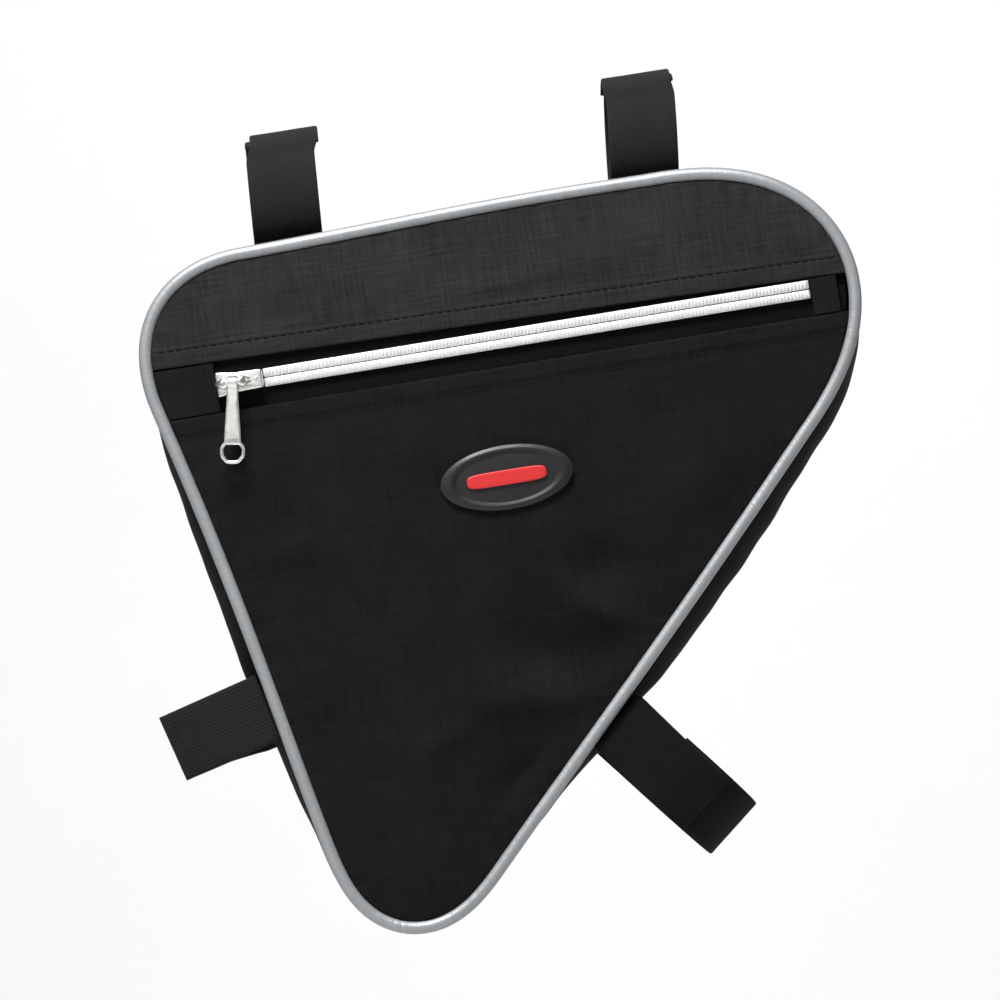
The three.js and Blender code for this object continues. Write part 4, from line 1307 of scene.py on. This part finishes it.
def pillow(name, outline, face, foot, edge, place, dome=0.0):
    """A closed plate with rounded edges between two depths: rings that grow from the middle of its face out
    over the edge, and shrink again to the middle of its foot."""
    turn = np.linspace(0, np.pi / 2, 5)
    way = np.gradient(np.vstack([outline[-2], outline, outline[1]]), axis=0)[1:-1]
    normal = np.stack([way[:, 1], -way[:, 0]], -1) / np.hypot(*way.T)[:, None]
    middle = outline[:-1].mean(axis=0)
    if ((outline - middle) * normal).sum() < 0:
        normal = -normal
    rows = [(0.0, 0.0, face - dome), (0.4, 0.0, face - dome * 0.84), (0.75, 0.0, face - dome * 0.44)]
    rows += [(1.0, edge * (1 - np.sin(t)), face + edge * (1 - np.cos(t))) for t in turn]
    rows += [(1.0, edge * (1 - np.cos(t)), foot - edge * (1 - np.sin(t))) for t in turn]
    rows += [(0.6, 0.0, foot), (0.0, 0.0, foot)]
    scale, inset, depth = np.array(rows).T[:, :, None]
    x = middle[0] + (outline[:, 0] - middle[0]) * scale - normal[:, 0] * inset
    z = middle[1] + (outline[:, 1] - middle[1]) * scale - normal[:, 1] * inset
    points = place(np.stack([x, depth + 0 * x, z], -1))
    return surface(name, points, closed=True)


def rod(name, path, radii, place):
    """An oval carried along a path in the x-y or x-z plane. Radii are across the plane and in it."""
    tangent = np.gradient(path, axis=0)
    if np.allclose(path[0], path[-1]):
        tangent[0] = tangent[-1] = path[1] - path[-2]
    tangent /= np.linalg.norm(tangent, axis=1)[:, None]
    across = np.array([0, 0, 1.0]) if np.ptp(path[:, 2]) < 1e-6 else np.array([0, 1.0, 0])
    inward = np.cross(tangent, across)
    angle = np.linspace(0, 2 * np.pi, ROD_SIDES)
    points = (path[:, None] + across * (radii[:, :1] * np.cos(angle))[..., None]
              + inward[:, None] * (radii[:, 1:] * np.sin(angle))[..., None])
    return surface(name, place(points), closed=True)


# %% The slider
def make_slider():
    """Plates, a core, two side walls, the bridge and its two bosses, all as one piece of metal."""
    half, nose, tail = SLIDER["length"] / 2, SLIDER["nose"] / 2, SLIDER["tail"] / 2
    waist = tail * SHOULDER
    outline = round_outline(np.array([(-half, -nose), (-1.5, -waist), (half, -tail),
                                      (half, tail), (-1.5, waist), (-half, nose)]), 3.4, 160)
    core = round_outline(np.array([(-half + 1, -0.9), (half - 3, -2.4),
                                   (half - 3, 2.4), (-half + 1, 0.9)]), 2.5)
    pieces = [
        pillow("slider_top", outline, -SLIDER["height"], -2.15, 0.55, on_zip, dome=0.25),
        pillow("slider_foot", outline, -0.35, 0.75, 0.4, on_zip),
        pillow("slider_core", core, -2.2, -0.3, 0.2, on_zip)]
    for side in (-1, 1):
        wall = np.array([(-half + 1.6, side * (nose - 1.15)), (-half + 1.6, side * (nose - 0.15)),
                         (-1.5, side * (waist - 0.15)), (half - 1.2, side * (tail - 0.15)),
                         (half - 1.2, side * (tail - 1.1)), (-1.5, side * (waist - 1.1))])
        pieces.append(pillow("slider_wall", round_outline(wall, 1.2), -2.7, -1.15, 0.3, on_zip))
    share = np.linspace(-1, 1, 45)
    rise = (1 - np.abs(share) ** 3.2) ** (1 / 1.5)
    path = np.stack([share * BRIDGE["span"] / 2 - BRIDGE["behind"],
                     -2.7 - (BRIDGE["height"] - 2.7) * rise, 0 * share], -1)
    radii = np.stack([0.9 + 1.2 * bump_at(np.abs(share) - 0.62, 0.26) + 0.4 * np.abs(share) ** 6,
                      0.85 + 0.25 * np.abs(share) ** 4], -1)
    pieces.append(rod("slider_bridge", path, radii, on_zip))
    turn = np.linspace(0, 6, 24)
    boss = round_outline(BOSS["radius"] * np.stack([np.cos(turn), np.sin(turn)], -1), 0.216)
    for x in BOSS["places"]:
        pieces.append(pillow("slider_boss", boss + [x, 0], BOSS["face"], BOSS["foot"], 0.25, on_zip,
                             dome=0.15))
    slider = join_pieces("slider", pieces)
    return finish_piece(slider, plated_metal, "zip_metal", "bag", "zip_slider")


slider = make_slider()
print("slider tilt", round(math.degrees(SLIDER_TILT), 1), "degrees,", len(slider.data.polygons), "faces")


# %% The pull
def make_pull():
    """A flat stem with a waist, the rolled eye at its top and the ring at its foot."""
    neck, foot = PULL["neck"] / 2, PULL["foot"] / 2
    drop = RING["height"] - PULL["length"]
    stem = round_outline(np.array([
        (-neck, -1.7), (-neck - 0.12, -6), (-foot + 0.25, drop + 5), (-foot, drop),
        (foot, drop), (foot - 0.25, drop + 5), (neck + 0.12, -6), (neck, -1.7)]), 1.6, 200)
    pieces = [pillow("pull_stem", stem, -PULL["wall"] / 2, PULL["wall"] / 2, 0.4, hanging, dome=0.12)]
    turn = np.linspace(0, 2 * np.pi, 49)
    section = round_outline(np.array([(-1, -1), (1, -1), (1, 1), (-1, 1)]) *
                            np.array([EYE["width"], EYE["wall"]]) / 2, 0.5, 32)
    radius = EYE["outer"] - EYE["wall"] / 2 + section[:, 1]
    eye = np.stack([np.broadcast_to(section[:, 0], (49, 33)), radius * np.sin(turn)[:, None],
                    radius * np.cos(turn)[:, None]], -1)
    pieces.append(surface("pull_eye", hanging(eye), closed=True))
    half = (RING["width"] - RING["wire"]) / 2
    low = RING["wire"] / 2 - PULL["length"]
    ring = round_outline(np.array([
        (-half * 0.7, drop + 0.2), (-half, drop - 1.6), (-half, low + 2.6), (-half * 0.55, low + 0.3),
        (0, low), (half * 0.55, low + 0.3), (half, low + 2.6), (half, drop - 1.6),
        (half * 0.7, drop + 0.2)]), 2.2, 96)
    path = np.insert(ring, 1, 0, axis=1)
    wire = np.full((len(path), 2), (PULL["wall"] / 2, RING["wire"] / 2 - 0.1))
    pieces.append(rod("pull_ring", path, wire, hanging))
    pull = join_pieces("pull", pieces)
    return finish_piece(pull, plated_metal, "zip_metal", "pull", "zip_pull")


pull = make_pull()
print("pull", len(pull.data.polygons), "faces")

# %% [markdown]
# ## Badge
# The badge is a soft rubber oval with a raised rim, sewn flat on the lower panel, and its face swells a
# little. Its red part is a plain bar. Both are rings about one middle, so each is a grid over two
# parameters: how far out from that middle, and at what angle.

# %% Badge and bar
BADGE_FACE = -CLOTH / 2 - GAP - 1.2
BAR = {"length": 30.0, "height": 5.6, "wall": 0.8}
RIM_HEIGHT = 0.9
FACE_SWELL = 0.22


def oval(length, height, power=1.0, count=145):
    """Points of an oval about the badge's middle. A power under 1 squares its ends."""
    angle = np.linspace(0, 2 * np.pi, count)
    c, s = np.cos(angle), np.sin(angle)
    x = length / 2 * np.sign(c) * np.abs(c) ** power
    return np.stack([x, height / 2 * np.sign(s) * np.abs(s) ** power], -1)


def make_badge():
    """Rings over the face and the rim: the rim rises from 0.76 to 0.85 of the way out, then falls away."""
    share = np.concatenate([
        np.linspace(0, 0.72, 12), np.linspace(0.74, 0.96, 18), [0.975, 0.99, 0.998, 1.0]])
    rim = smooth(share, 0.76, 0.85) - smooth(share, 0.88, 1.04)
    front = BADGE_FACE - RIM_HEIGHT * rim - FACE_SWELL * np.clip(1 - (share / 0.76) ** 2, 0, 1)
    shares = np.concatenate([share, [0.998, 0.985, 0.9, 0.4, 0.0]])
    height = np.concatenate([front, np.array([-0.35, -0.05, 0, 0, 0]) - CLOTH / 2 - GAP])
    edge = oval(BADGE["length"], BADGE["height"])
    x = edge[:, 0] * shares[:, None]
    z = BADGE["z"] + edge[:, 1] * shares[:, None]
    badge = surface("badge_oval", np.stack([x, front_skin(x, z) + height[:, None], z], -1), closed=True)
    return finish_piece(badge, badge_rubber, "badge_rubber", "bag", "badge")


def make_bar():
    """A plain bar with softly rounded edges, a little proud of the badge's face."""
    outline = oval(BAR["length"], BAR["height"], 0.42, 161)
    share = np.array([0, 0.5, 0.86, 0.93, 0.97, 0.99, 1, 1, 0.985, 0.5, 0])
    height = np.array([1, 1, 0.98, 0.93, 0.82, 0.68, 0.5, 0.15, 0, 0, 0]) * -BAR["wall"]
    x = outline[:, 0] * share[:, None]
    z = BADGE["z"] + outline[:, 1] * share[:, None]
    y = front_skin(x, z) + BADGE_FACE - GAP + height[:, None]
    bar = surface("badge_red_bar", np.stack([x, y, z], -1), closed=True)
    return finish_piece(bar, red_inlay, "badge_red", "bag", "badge_bar")


badge = make_badge()
bar = make_bar()
print("badge", len(badge.data.polygons), "faces, bar", len(bar.data.polygons))

# %% [markdown]
# ## Stitches
# Black thread holds the hems, the back seam and the end of the loose tab. Each stitch is a short capsule,
# half sunk in the cloth, and one array carries the capsule to every place on a line.

# %% Stitch lines
STITCH = {"long": 2.7, "pitch": 3.3, "radius": 0.27, "sunk": 0.1, "ends_sunk": 0.25}
TAB_ROWS = (4.2, 7.4)
BACK_INSET = 3.2


def stitch_line(name, path, outward):
    """Capsules along a path of points. Outward is the way out of the cloth."""
    run = run_along(path)
    middle = np.arange(STITCH["pitch"] / 2, run[-1] - STITCH["long"] / 2, STITCH["pitch"])
    t = np.linspace(-1, 1, 9)
    along = middle[:, None] + t * STITCH["long"] / 2
    line = read_off(along, run, path)
    out = np.broadcast_to(np.array(outward, float), line.shape)
    tangent = np.gradient(line, axis=1)
    tangent /= np.linalg.norm(tangent, axis=-1)[..., None]
    side = np.cross(tangent, out)
    side /= np.linalg.norm(side, axis=-1)[..., None]
    radius = STITCH["radius"] * np.sqrt(np.clip(1 - np.abs(t) ** 3, 0, 1))
    sink = -STITCH["sunk"] - STITCH["ends_sunk"] * np.abs(t) ** 3
    angle = np.linspace(0, 2 * np.pi, 8)
    ring = side[:, :, None] * np.cos(angle)[:, None] + out[:, :, None] * np.sin(angle)[:, None]
    ring = ring * radius[:, None, None]
    points = line[:, :, None] + out[:, :, None] * (sink + STITCH["radius"])[:, None, None] + ring
    faces = repeated_faces(*points.shape[:3])
    uv = np.stack(np.broadcast_arrays(along[:, :, None], (angle * STITCH["radius"])[None, None]), -1)
    return weld(new_mesh(name, to_row(points).reshape(-1, 3), faces, uv.reshape(-1, 2) * MM), outwards=True)


def hem_stitches(name, above, height_at, seed):
    """A row of stitches a fixed distance inside a panel's cut edge."""
    ends = seam_stretch(above, STITCH_INSET, 4.5)[[0, -1], 0]
    x = np.linspace(*ends, 300)
    z = height_at(x)
    y = panel_face(x, z, above(x, z), seed)
    return stitch_line(name, np.stack([x, y, z], -1), (0, -1.0, 0))


def seam_stitches():
    """The back seam's stitches, a few millimetres inside it."""
    line = seam[SEAM_LOOP, :2] - seam_out[SEAM_LOOP] * BACK_INSET
    inside, _ = to_seam(line[:, 0], line[:, 1])
    y = back_skin(line[:, 0], line[:, 1]) + CLOTH / 2 + back_pucker(inside)
    return stitch_line("back_stitches", np.stack([line[:, 0], y, line[:, 1]], -1), (0, 1.0, 0))


threads = [
    hem_stitches("hem_stitches", above_hem, lambda x: hem_at(x) + STITCH_INSET, 0.7),
    hem_stitches("fold_stitches", below_fold, lambda x: FOLD_Z - STITCH_INSET + 0 * x, 2.9),
    seam_stitches(),
]
across_tab = np.linspace(-STRAP_WIDTH / 2 + 2, STRAP_WIDTH / 2 - 2, 30)
for inset in TAB_ROWS:
    row = np.stack(np.broadcast_arrays(across_tab, -(WEBBING + GAP / 2), TAB["length"] - inset), -1)
    threads.append(stitch_line("tab_stitches", tab_place(row), (0, -1.0, 0)))
stitches = join_pieces("stitches", threads)
finish_piece(stitches, black_thread, "cloth", "bag")
print("stitch faces", len(stitches.data.polygons))

# %% [markdown]
# ## Studio
# The photograph has a white background and soft light from above and in front. A pale floor that curves up
# into a wall gives the background, and large area lights give the black cloth its long, gentle gradients.

# %% Floor and light
FLOOR_Z = cad_low[2] - 0.45
WALL_Y = 4.8
FLOOR_BEND = 1.2


def make_floor():
    """A sheet that runs forward level, turns up behind the bag in a quarter circle and ends as a wall."""
    angle = np.linspace(0, np.pi / 2, 24)
    bend_y = WALL_Y - FLOOR_BEND * (1 - np.sin(angle))
    bend_z = FLOOR_BEND * (1 - np.cos(angle))
    y = np.concatenate([[-6.0, -2.0, 1.6], bend_y, [WALL_Y]])
    z = np.concatenate([[0, 0, 0], bend_z, [5.0]])
    x = np.linspace(-7, 7, 12)
    points = np.stack(np.broadcast_arrays(x[:, None], y[None], z[None]), -1)
    mesh_points = points.reshape(-1, 3) + np.array([0, 0, FLOOR_Z])
    floor = new_mesh("floor", mesh_points, grid_faces(len(x), len(y)))
    paper = Finish("studio paper")
    tint = paper.noise(0.6, detail=2.0)
    floor.data.materials.append(paper.done(
        Base_Color=paper.mix(tint, grey(0.84), grey(0.88)), Roughness=0.9))
    return floor


def soft_light(name, place, size, power, target=None):
    """A rectangular area light that faces the middle of the bag, or a target."""
    data = bpy.data.lights.new(name, "AREA")
    data.shape = "RECTANGLE"
    data.size, data.size_y = size
    data.energy = power
    light = bpy.data.objects.new(name, data)
    bpy.context.scene.collection.objects.link(light)
    light.location = place
    way = mathutils.Vector(aim if target is None else target) - light.location
    light.rotation_euler = way.to_track_quat("-Z", "Y").to_euler()
    return light


make_floor()
soft_light("top_light", (-0.35, -0.75, 1.2), (0.6, 0.4), 42)
soft_light("left_light", (-2.0, -1.3, 0.9), (1.2, 2.0), 8)
soft_light("right_light", (2.1, -0.7, 0.7), (0.9, 1.8), 5)
soft_light("front_light", (-0.5, -2.4, 0.45), (1.5, 1.5), 7)
soft_light("rear_light", (1.1, 2.3, 0.5), (1.2, 1.2), 8)
soft_light("wall_light", (0.2, WALL_Y - 1.7, 1.9), (3.2, 1.2), 68, target=(0, WALL_Y, -0.2))
world = bpy.data.worlds.new("studio")
world.use_nodes = True
world.node_tree.nodes["Background"].inputs[0].default_value = (1, 1, 1, 1)
world.node_tree.nodes["Background"].inputs[1].default_value = 0.1
bpy.context.scene.world = world
bpy.context.scene.view_settings.view_transform = "Standard"
print("floor", round(FLOOR_Z, 3), "m")
